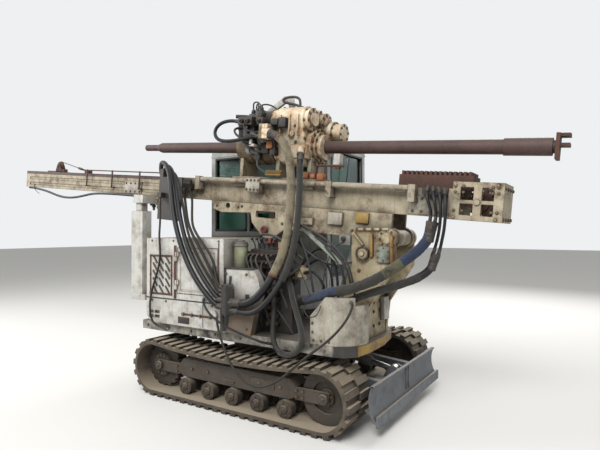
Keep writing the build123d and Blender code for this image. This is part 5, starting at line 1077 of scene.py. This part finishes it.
bayLines = {
    "pipes": [
        [(0.12, -0.775, 1.395), (0.12, -0.83, 1.39), (0.14, -0.85, 1.33), (0.2, -0.845, 1.2),
         (0.23, -0.82, 1.05), (0.24, -0.8, 0.9), (0.25, -0.77, 0.76)],
        [(0.17, -0.775, 1.395), (0.17, -0.84, 1.385), (0.2, -0.86, 1.31), (0.26, -0.855, 1.18),
         (0.3, -0.83, 1.02), (0.32, -0.79, 0.86), (0.36, -0.76, 0.75)],
        [(0.22, -0.775, 1.395), (0.22, -0.835, 1.38), (0.25, -0.85, 1.3), (0.33, -0.83, 1.2), (0.4, -0.8, 1.13),
         (0.47, -0.77, 1.09)],
        [(0.27, -0.775, 1.33), (0.27, -0.82, 1.32), (0.29, -0.84, 1.25), (0.34, -0.84, 1.12),
         (0.41, -0.82, 0.98), (0.5, -0.8, 0.86), (0.58, -0.78, 0.74)],
        [(0.32, -0.775, 1.395), (0.33, -0.83, 1.4), (0.38, -0.86, 1.36), (0.44, -0.86, 1.24), (0.5, -0.84, 1.1),
         (0.56, -0.83, 0.96)],
        [(0.37, -0.775, 1.33), (0.38, -0.81, 1.31), (0.42, -0.83, 1.25), (0.5, -0.82, 1.2), (0.58, -0.78, 1.24),
         (0.62, -0.73, 1.3)],
        [(0.45, -0.72, 1.51), (0.46, -0.74, 1.56), (0.5, -0.74, 1.585), (0.57, -0.72, 1.55), (0.64, -0.7, 1.46),
         (0.74, -0.68, 1.38), (0.86, -0.65, 1.33), (0.95, -0.61, 1.3)],
        [(0.61, -0.7, 1.64), (0.72, -0.72, 1.58), (0.85, -0.735, 1.52), (0.96, -0.74, 1.45),
         (1.04, -0.735, 1.36), (1.09, -0.72, 1.24), (1.1, -0.7, 1.12)],
        [(0.66, -0.69, 1.6), (0.78, -0.71, 1.54), (0.89, -0.73, 1.46), (0.98, -0.73, 1.37), (1.03, -0.72, 1.26),
         (1.05, -0.7, 1.12)],
        [(0.62, -0.74, 1.67), (0.75, -0.76, 1.62), (0.9, -0.77, 1.54), (1.02, -0.77, 1.45), (1.1, -0.76, 1.34),
         (1.13, -0.74, 1.2), (1.13, -0.71, 1.08)],
        [(0.58, -0.72, 1.6), (0.66, -0.75, 1.5), (0.72, -0.77, 1.38), (0.76, -0.78, 1.24), (0.78, -0.77, 1.1)],
        [(0.16, -0.66, 1.5), (0.16, -0.69, 1.56), (0.22, -0.72, 1.585), (0.34, -0.73, 1.57),
         (0.46, -0.76, 1.53), (0.56, -0.76, 1.44), (0.66, -0.74, 1.37)],
    ],
    "wires": [
        [(0.1, -0.74, 1.43), (0.18, -0.81, 1.46), (0.3, -0.83, 1.44), (0.42, -0.8, 1.47), (0.52, -0.76, 1.42),
         (0.6, -0.75, 1.33), (0.7, -0.78, 1.2), (0.78, -0.83, 1.08)],
        [(0.81, -0.925, 1.05), (0.79, -0.94, 0.99), (0.82, -0.955, 0.94), (0.88, -0.96, 0.925),
         (0.93, -0.95, 0.955), (0.94, -0.925, 1.02)],
        [(0.7, -0.62, 1.38), (0.76, -0.7, 1.42), (0.84, -0.72, 1.35), (0.88, -0.73, 1.22), (0.9, -0.75, 1.1),
         (0.96, -0.8, 1.0)],
        [(0.98, -0.6, 1.52), (0.95, -0.66, 1.5), (0.9, -0.7, 1.42), (0.87, -0.72, 1.3), (0.85, -0.74, 1.18),
         (0.86, -0.78, 1.05)],
    ],
}
group = [barPiece("pipe", points, 0.0085 + 0.0012 * (k % 3)) for k, points in enumerate(bayLines["pipes"])]
together("bay_pipes", group, "sealRubber", "upper")
group = [barPiece("wire", points, 0.0042) for points in bayLines["wires"]]
together("bay_wires", group, "oldHose", "upper")
places = []
for k in range(6):
    for z in (1.33, 1.395):
        places.append(facing((0.12 + 0.05 * k, -0.8, z), rightward, k, 1.0))
for z in (0.79, 0.86, 0.93, 1.0, 1.07):
    places.append(facing((0.3, -0.75, z), rightward, z * 20, 1.6))
    places.append(facing((0.38, -0.735, z), rightward, z * 31, 1.4))
for x in (0.43, 0.51):
    for z in (1.17, 1.31):
        places.append(facing((x, -0.7165, z), rightward, x * 30, 1.0))
bolted("bay_bolts", places, "upper")

turnedAt("ring_cap", [(0.03, 0), (0.058, 0), (0.058, 0.022), (0.046, 0.022), (0.044, 0.012), (0.03, 0.012)], 28,
         facing((1.145, -0.5895, 1.425), rightward), "darkSteel", "upper")
boxes("pale_cover", [((1.268, -0.5895, 1.355), (1.376, -0.585, 1.485))], "paleGreen", "upper",
      0.002)
boxes("front_box", [((1.15, -0.25, 0.83), (1.19, -0.13, 1.03))], "enamel", "upper", 0.006)

# Tower: yellow edges, slanted rib, bolts round the ring cap, the cover and the pivot
boxes("tower_edges", [
    ((1.3825, -0.602, 1.348), (1.4075, -0.569, 1.5715)), ((1.2085, -0.598, 1.398), (1.2335, -0.569, 1.5815)),
    ((1.396, -0.572, 1.30), (1.4115, -0.529, 1.57)),
], "yellowPaint", "upper", 0.003)
tilted("slanted_rib", (-0.07, -0.012, -0.008), (0.07, 0.012, 0.008), 0.003, (1.10, -0.58, 1.545), 50,
       "towerEnamel")
places = ringOf((1.145, -0.6115, 1.425), rightward, 0.052, 8, 0.2, 0.6)
places += ringOf((1.322, -0.5865, 1.42), rightward, 0.052, 6, 0.5, 0.8)
places += ringOf((1.35, -0.5825, 1.55), rightward, 0.062, 8, 0.1, 0.8)
places += ringOf((1.35, -0.0905, 1.55), leftward, 0.062, 8, 0.1, 0.8)
for x in (1.09, 1.16, 1.23, 1.3):
    places.append(facing((x, -0.5925, 1.625), rightward, x * 30, 0.9))
for x, z in ((0.85, 0.78), (0.95, 0.78), (1.05, 0.78), (1.12, 0.78), (1.0, 0.93), (1.12, 0.93), (1.08, 1.15),
             (1.2, 1.2), (1.1, 1.28)):
    places.append(facing((x, -0.5705, z), rightward, x * 40, 1.2))
for z in (0.80, 0.92, 1.0):
    for y in (-0.39, -0.27):
        places.append(facing((1.1505, y, z), forward, z * 20, 1.2))
bolted("tower_bolts", places, "upper")

# Deck: painted front edge, bolts round the rim, and the tool box's trim with a strap over it
edge = platePiece("deck_edge", [
    (1.2152, -0.64), (1.2052, -0.3), (1.1502, 0.0), (1.1545, 0.002), (1.2095, -0.299), (1.2196, -0.642),
    (1.194, -0.793), (1.1902, -0.789),
], 0.078, 0.001)
edge.data.transform(Matrix.Translation((0, 0, 0.624)))
settle(edge, "yellowPaint", "upper")
places = [facing((x, -0.8905, 0.662), rightward, x * 20, 1.1)
          for x in (-1.1, -0.8, -0.5, -0.2, 0.1, 0.4, 0.7, 0.95)]
places += [facing((x, 0.9305, 0.662), leftward, x * 20, 1.1) for x in (-1.1, -0.8, -0.5, -0.2, 0.1, 0.4, 0.7)]
places += [facing((-1.1805, y, 0.662), backward, y * 20, 1.1) for y in (-0.8, -0.4, 0.0, 0.4, 0.8)]
places += [facing((x, -0.8905, 0.735), rightward, x * 21, 0.9) for x in (0.85, 0.92, 0.99)]
places += [facing((0.84, -0.8905, z), rightward, z * 21, 0.9) for z in (0.8, 0.87)]
places += [facing((x, -0.9305, z), rightward, x * 9, 1.0) for x in (-0.03, 0.2) for z in (0.76, 1.23)]
bolted("deck_bolts", places, "upper")
boxes("tool_box_trim", [
    ((-0.052, -0.936, 0.72), (-0.03, -0.9295, 1.275)), ((0.19, -0.936, 1.0), (0.23, -0.9295, 1.06)),
    ((-0.055, -0.938, 1.272), (0.275, -0.862, 1.283)),
], "sealRubber", "upper", 0.002)
tilted("strap", (-0.011, -0.004, -0.22), (0.011, 0.004, 0.22), 0.002, (0.0, -0.934, 0.99), 6, "sealRubber")
print("bay, tower and deck dressed")

# Hood: rusted frame round the louvres with a pressed brow over each slot, black as the slot's painted shade,
# strips, seams, bolts, the door's latch and rim
hoodFace = -0.9295


# Four strips round a rectangle on the hood's face
def rim(low, high, width, out):
    (left, foot), (right, top) = low, high
    return [((left, out, foot), (right, hoodFace, foot + width)),
            ((left, out, top - width), (right, hoodFace, top)),
            ((left, out, foot), (left + width, hoodFace, top)),
            ((right - width, out, foot), (right, hoodFace, top))]


boxes("louvre_frame", rim((-1.03, 0.985), (-0.715, 1.376), 0.018, -0.9345), "rust", "upper",
      0.0015)
# The brows are black rubber: painted shade of the louvre slots
brow = boxPiece("brow", (-0.05, 0.006, 0.0), (0.05, 0.0145, 0.004), 0.0015)
places = [facing((-0.87 + i * 0.088, -0.9298, 1.18 + j * 0.074), rightward, math.radians(-52))
          for i in (-1, 0, 1) for j in (-2, -1, 0, 1, 2)]
piece = copies("louvre_brows_shade", brow, places)
forget(brow)
settle(piece, "sealRubber", "upper")
boxes("hood_strips", [
    ((-0.692, -0.934, 0.96), (-0.658, hoodFace, 1.47)), ((-0.59, -0.9345, 0.812), (-0.19, hoodFace, 0.83)),
    ((-0.634, -0.933, 0.73), (-0.484, hoodFace, 0.792)), ((-0.125, -0.9335, 0.96), (-0.113, hoodFace, 1.5)),
], "rust", "upper", 0.0015)
boxes("hood_seams", [
    ((-1.08, -0.932, 0.944), (-0.06, hoodFace, 0.956)), ((-0.622, -0.935, 0.738), (-0.496, hoodFace, 0.784)),
    ((-0.316, -0.932, 0.72), (-0.309, hoodFace, 0.945)),
], "sealRubber", "upper", 0.001)
places = [facing((x, -0.9345, 0.821), rightward, x * 30, 1.3) for x in (-0.56, -0.45, -0.34, -0.22)]
places += [facing((x, -0.9345, z), rightward, x * 30, 0.8) for x in (-1.021, -0.724)
           for z in (0.994, 1.18, 1.367)]
places += [facing((x, -0.9305, 1.515), rightward, x * 30, 0.8) for x in (-1.0, -0.7, -0.4, -0.12)]
places += [facing((x, -0.9305, 0.925), rightward, x * 30, 0.9) for x in (-1.0, -0.8, -0.2, -0.12)]
bolted("hood_bolts", places, "upper")
boxes("door_latch", [
    ((-0.19, -0.944, 1.2), (-0.15, -0.9295, 1.29)), ((-0.185, -0.956, 1.215), (-0.165, -0.94, 1.275)),
], "sealRubber", "hood_door")
boxes("door_rim", rim((-0.61, 1.04), (-0.17, 1.412), 0.012, -0.9335), "enamel", "hood_door",
      0.0015)

# Engine under the hood: castings, filters and fan
boxes("engine_castings", [
    ((-0.92, -0.6, 1.36), (-0.46, -0.38, 1.43)), ((-0.9, -0.715, 1.05), (-0.5, -0.695, 1.3)),
    ((-0.86, -0.75, 1.2), (-0.54, -0.7, 1.27)), ((-0.42, -0.69, 1.0), (-0.36, -0.25, 1.32)),
    ((-0.8, -0.755, 0.97), (-0.66, -0.7, 1.1)),
], "darkSteel", "upper", 0.008)
can = turned("can", [(0.03, 0), (0.036, 0.004), (0.036, 0.085), (0.028, 0.095)], 20)
places = [facing((-0.6, -0.7, 1.1), (0, -1, 0.2)), facing((-0.75, -0.7, 1.32), (0, -0.2, 1), 0, 1.2),
          facing((-0.5, -0.45, 1.42), upward, 0, 1.1)]
piece = copies("engine_filters", can, places)
forget(can)
settle(piece, "filterPaint", "upper")
blade = boxPiece("fan_blade", (0.04, -0.035, -0.003), (0.17, 0.035, 0.003), 0.002)
blade.data.transform(Matrix.Rotation(math.radians(28), 4, "X"))
base = facing((-1.035, -0.46, 1.16), backward)
fan = copies("fan", blade, [base @ Matrix.Rotation(math.radians(60 * k), 4, "Z") for k in range(6)])
forget(blade)
hub = turned("hub", [(0.05, -0.035), (0.05, 0.02), (0.03, 0.026)], 20)
hub.data.transform(base)
together("engine_fan", [fan, hub], "sealRubber", "upper")
print("hood and engine dressed")


# Cab: rubber round each pane, gutter, wiper, handles, and the controls inside. A gasket is four strips
# round a rectangle that is flat along one axis
def gasket(low, high, flat):
    width, out = 0.022, 0.006
    across, up = [k for k in range(3) if k != flat]
    strips = []
    for axis, other in ((across, up), (up, across)):
        for edge in (low[other], high[other]):
            first, last = list(low), list(high)
            first[flat], last[flat] = low[flat] - out, high[flat] + out
            first[axis], last[axis] = low[axis] - width / 2, high[axis] + width / 2
            first[other], last[other] = edge - width / 2, edge + width / 2
            strips.append(boxPiece("strip", first, last, 0.003, 1))
    return strips


panes = [
    # (low corner, high corner, axis that it is flat along)
    ((-1.05, 0.06, 1.62), (-0.6, 0.06, 2.45), 1), ((-0.54, 0.06, 1.62), (0.06, 0.06, 2.45), 1),
    ((0.12, 0.06, 1.62), (0.38, 0.06, 2.45), 1), ((-1.12, 0.14, 1.62), (-1.12, 0.87, 2.45), 0),
    ((0.45, 0.14, 1.15), (0.45, 0.87, 2.45), 0), ((-1.05, 0.95, 1.62), (-0.63, 0.95, 2.45), 1),
]
strips = []
for low, high, flat in panes:
    strips += gasket(low, high, flat)
together("cab_gaskets", strips, "sealRubber", "upper")
together("door_gaskets", gasket((-0.495, 0.95, 1.62), (0.265, 0.95, 2.385), 1), "sealRubber", "cab_door")
boxes("door_handle", [((0.2, 0.949, 1.3), (0.29, 0.957, 1.36)), ((0.215, 0.957, 1.32), (0.275, 0.985, 1.335))],
      "sealRubber", "cab_door")
boxes("cab_trim", [
    ((-1.127, 0.055, 2.475), (0.457, 0.0605, 2.495)), ((-1.127, 0.9495, 2.475), (0.457, 0.955, 2.495)),
    ((-1.125, 0.06, 1.56), (-1.1195, 0.95, 1.575)), ((-1.1, 0.0545, 1.555), (0.43, 0.0605, 1.57)),
    ((-0.9, 0.2, 2.578), (0.2, 0.82, 2.594)), ((0.4495, 0.1, 0.76), (0.4545, 0.91, 1.11)),
], "cabEnamelShaded", "upper", 0.003)
rails = [
    [(-0.64, 0.945, 1.1), (-0.64, 1.0, 1.12), (-0.64, 1.0, 1.5), (-0.64, 1.0, 1.88), (-0.64, 0.945, 1.9)],
    [(0.44, 0.92, 1.2), (0.49, 0.93, 1.22), (0.49, 0.93, 1.6), (0.49, 0.93, 1.98), (0.44, 0.92, 2.0)],
]
wiper = [(0.452, 0.5, 2.42), (0.475, 0.5, 2.4), (0.478, 0.42, 2.1), (0.47, 0.38, 1.85)]
group = [barPiece("rail", points, 0.011) for points in rails]
group.append(barPiece("wiper", wiper, 0.006, smooth=False))
group.append(boxPiece("wiper", (0.458, 0.35, 1.62), (0.47, 0.362, 2.1), 0.003))
group.append(boxPiece("motor", (0.44, 0.46, 2.47), (0.49, 0.54, 2.52), 0.008))
together("cab_rails", group, "sealRubber", "upper")
boxes("cab_controls", [
    ((-0.15, 0.2, 0.746), (0.0, 0.36, 1.25)), ((-0.15, 0.65, 0.746), (0.0, 0.81, 1.25)),
    ((0.3, 0.2, 0.746), (0.4, 0.8, 1.1)), ((0.15, 0.36, 0.746), (0.25, 0.42, 0.83)),
    ((0.15, 0.58, 0.746), (0.25, 0.64, 0.83)),
], "greyPaint", "upper", 0.015)
group = [barPiece("lever", [(-0.08, y, 1.24), (-0.07, y, 1.33), (-0.04, y, 1.42)], 0.009) for y in (0.28, 0.73)]
group += [barPiece("lever", [(0.2, y, 0.8), (0.22, y, 0.95), (0.17, y, 1.16)], 0.01) for y in (0.47, 0.53)]
knob = turned("knob", [(0.012, 0), (0.02, 0.012), (0.022, 0.03), (0.015, 0.042), (0.006, 0.046)], 14)
places = [facing((-0.042, y, 1.41), (0.3, 0, 1)) for y in (0.28, 0.73)]
places += [facing((0.172, y, 1.15), (-0.3, 0, 1)) for y in (0.47, 0.53)]
group.append(copies("knobs", knob, places))
forget(knob)
together("cab_levers", group, "sealRubber", "upper")
print("cab dressed")

# Lower frame: bolts and caps on rollers, idlers, drives, track frames and slewing ring, covers, travel hoses,
# and the blade's bolts and ribs
rollers = {"places": [(k - 2) * 0.285 for k in range(5)], "height": 0.1303, "out": 0.8985, "in": 0.6615}
axles = {"places": (-0.94, 0.94), "height": 0.2753}
hubCap = turned("cap", [(0.034, 0), (0.034, 0.006), (0.028, 0.011), (0.012, 0.012), (0.01, 0.018)], 20)
places = []
for hand in (-1, 1):
    for x in rollers["places"]:
        places.append(facing((x, hand * rollers["out"], rollers["height"]), (0, hand, 0)))
        places.append(facing((x, hand * rollers["in"], rollers["height"]), (0, -hand, 0)))
    for x in axles["places"]:
        places.append(facing((x, hand * 0.8905, axles["height"]), (0, hand, 0), 0, 1.3))
piece = copies("axle_caps", hubCap, places)
forget(hubCap)
settle(piece, "trackSteel", "undercarriage")
places = []
for hand in (-1, 1):
    for k, x in enumerate(rollers["places"]):
        places += ringOf((x, hand * rollers["out"], rollers["height"]), (0, hand, 0), 0.052, 6, k, 0.8)
    places += ringOf((axles["places"][1], hand * 0.8485, axles["height"]), (0, hand, 0), 0.053, 6, 0.3, 1.1)
    places += ringOf((axles["places"][0], hand * 0.8485, axles["height"]), (0, hand, 0), 0.09, 12, 0.1, 1.1)
    for x in (-0.5, -0.3, 0.3, 0.52):
        places.append(facing((x, hand * 0.8755, 0.3), (0, hand, 0), x * 10, 1.3))
    for x in (0.68, 0.74, -0.7):
        for z in (0.25, 0.3):
            places.append(facing((x, hand * 0.8755, z), (0, hand, 0), x * 10, 1.2))
places += ringOf((0, 0, 0.5605), upward, 0.405, 8, 0.2, 1.4)
for x in (-0.335, 0.335):
    for y in (-0.5, -0.42, 0.42, 0.5):
        places.append(facing((x, y, 0.3805), upward, y * 10, 1.5))
bolted("frame_bolts", places, "undercarriage")
rows = []
for hand in (-1, 1):
    near, far = sorted((hand * 0.8745, hand * 0.881))
    rows.append(((0.2, near, 0.262), (0.46, far, 0.338)))
    rows.append(((-0.12, near, 0.24), (0.02, far, 0.27)))
    near, far = sorted((hand * 0.6, hand * 0.715))
    rows.append(((-1.03, near, 0.19), (-0.85, far, 0.36)))
boxes("track_covers", rows, "trackSteel", "undercarriage", 0.006)
group = [barPiece("hose", [
    (0.44, y, 0.44), (0.49, y * 1.9, 0.52), (0.56, y * 2.0, 0.54), (0.62, y * 1.8, 0.53), (0.65, y * 1.6, 0.51),
], 0.009) for y in (-0.05, 0.05)]
group += [barPiece("hose", [
    (-0.42, hand * 0.2, 0.42), (-0.56, hand * 0.3, 0.4), (-0.72, hand * 0.48, 0.33), (-0.86, hand * 0.62, 0.3),
], 0.011) for hand in (-1, 1)]
together("travel_hoses", group, "hoseRubber", "undercarriage")

places = [facing((x, hand * 0.3835, z), (0, hand, 0), x * 10, 1.3)
          for hand in (-1, 1) for x, z in ((0.75, 0.32), (1.15, 0.27))]
bolted("blade_bolts", places, "blade")
rows = [((1.302, y - 0.004, 0.16), (1.312, y + 0.004, 0.395)) for y in (-0.03, 0.03)]
rows += [
    ((1.288, -0.77, 0.392), (1.318, 0.77, 0.408)), ((1.2, -0.36, 0.24), (1.285, -0.34, 0.3)),
    ((1.2, 0.34, 0.24), (1.285, 0.36, 0.3)),
]
boxes("blade_ribs", rows, "bladePaint", "blade", 0.003)
print("lower frame and blade dressed")
forget(bolt)

# Pale studio: one floor, a pale world and three wide lamps
studio = {"floor": "d9d8d4", "across": 90, "sky": "eef0f2", "fill": 0.45}
floorFinish, tree, shader = newFinish("pale_floor")
shader.inputs["Base Color"].default_value = fromHex(studio["floor"])
shader.inputs["Roughness"].default_value = 0.9
bpy.ops.object.select_all(action="DESELECT")
bpy.ops.mesh.primitive_plane_add(size=studio["across"], location=(0, 0, -0.002))
floor = bpy.context.object
floor.name = "floor"
floor.data.transform(floor.matrix_world)
floor.matrix_world = Matrix.Identity(4)
floor.data.materials.append(floorFinish)

world = bpy.context.scene.world or bpy.data.worlds.new("studio")
bpy.context.scene.world = world
world.use_nodes = True
tree = world.node_tree
tree.nodes.clear()
path = addNode(tree, "ShaderNodeLightPath")
through = sumOf(tree, "MAXIMUM", path.outputs["Is Glossy Ray"], path.outputs["Is Transmission Ray"])
seen = sumOf(tree, "MAXIMUM", path.outputs["Is Camera Ray"], through)
back = addNode(tree, "ShaderNodeBackground", {"Color": fromHex(studio["sky"]), "Strength": 1.0})
fill = addNode(tree, "ShaderNodeBackground", {"Color": (1, 1, 1, 1), "Strength": studio["fill"]})
both = addNode(tree, "ShaderNodeMixShader", {0: seen, 1: fill.outputs[0], 2: back.outputs[0]})
addNode(tree, "ShaderNodeOutputWorld", {"Surface": both.outputs[0]})

lamps = {
    "key": {"place": (3.5, -7.5, 7.5), "aim": (0.3, 0, 1.2), "size": 4.0, "power": 900},
    "side": {"place": (-7.0, -4.0, 5.0), "aim": (0, 0, 1.2), "size": 5.0, "power": 500},
    "back": {"place": (2.0, 8.0, 6.0), "aim": (0, 0, 1.2), "size": 5.0, "power": 500},
}
for name, lamp in lamps.items():
    aim = Vector(lamp["aim"]) - Vector(lamp["place"])
    turn = aim.to_track_quat("-Z", "Y").to_euler()
    bpy.ops.object.light_add(type="AREA", location=lamp["place"], rotation=turn)
    light = bpy.context.object
    light.name = "lamp_" + name
    light.data.size = lamp["size"]
    light.data.energy = lamp["power"]
bpy.context.scene.view_settings.view_transform = "Standard"
print("stage and light set")
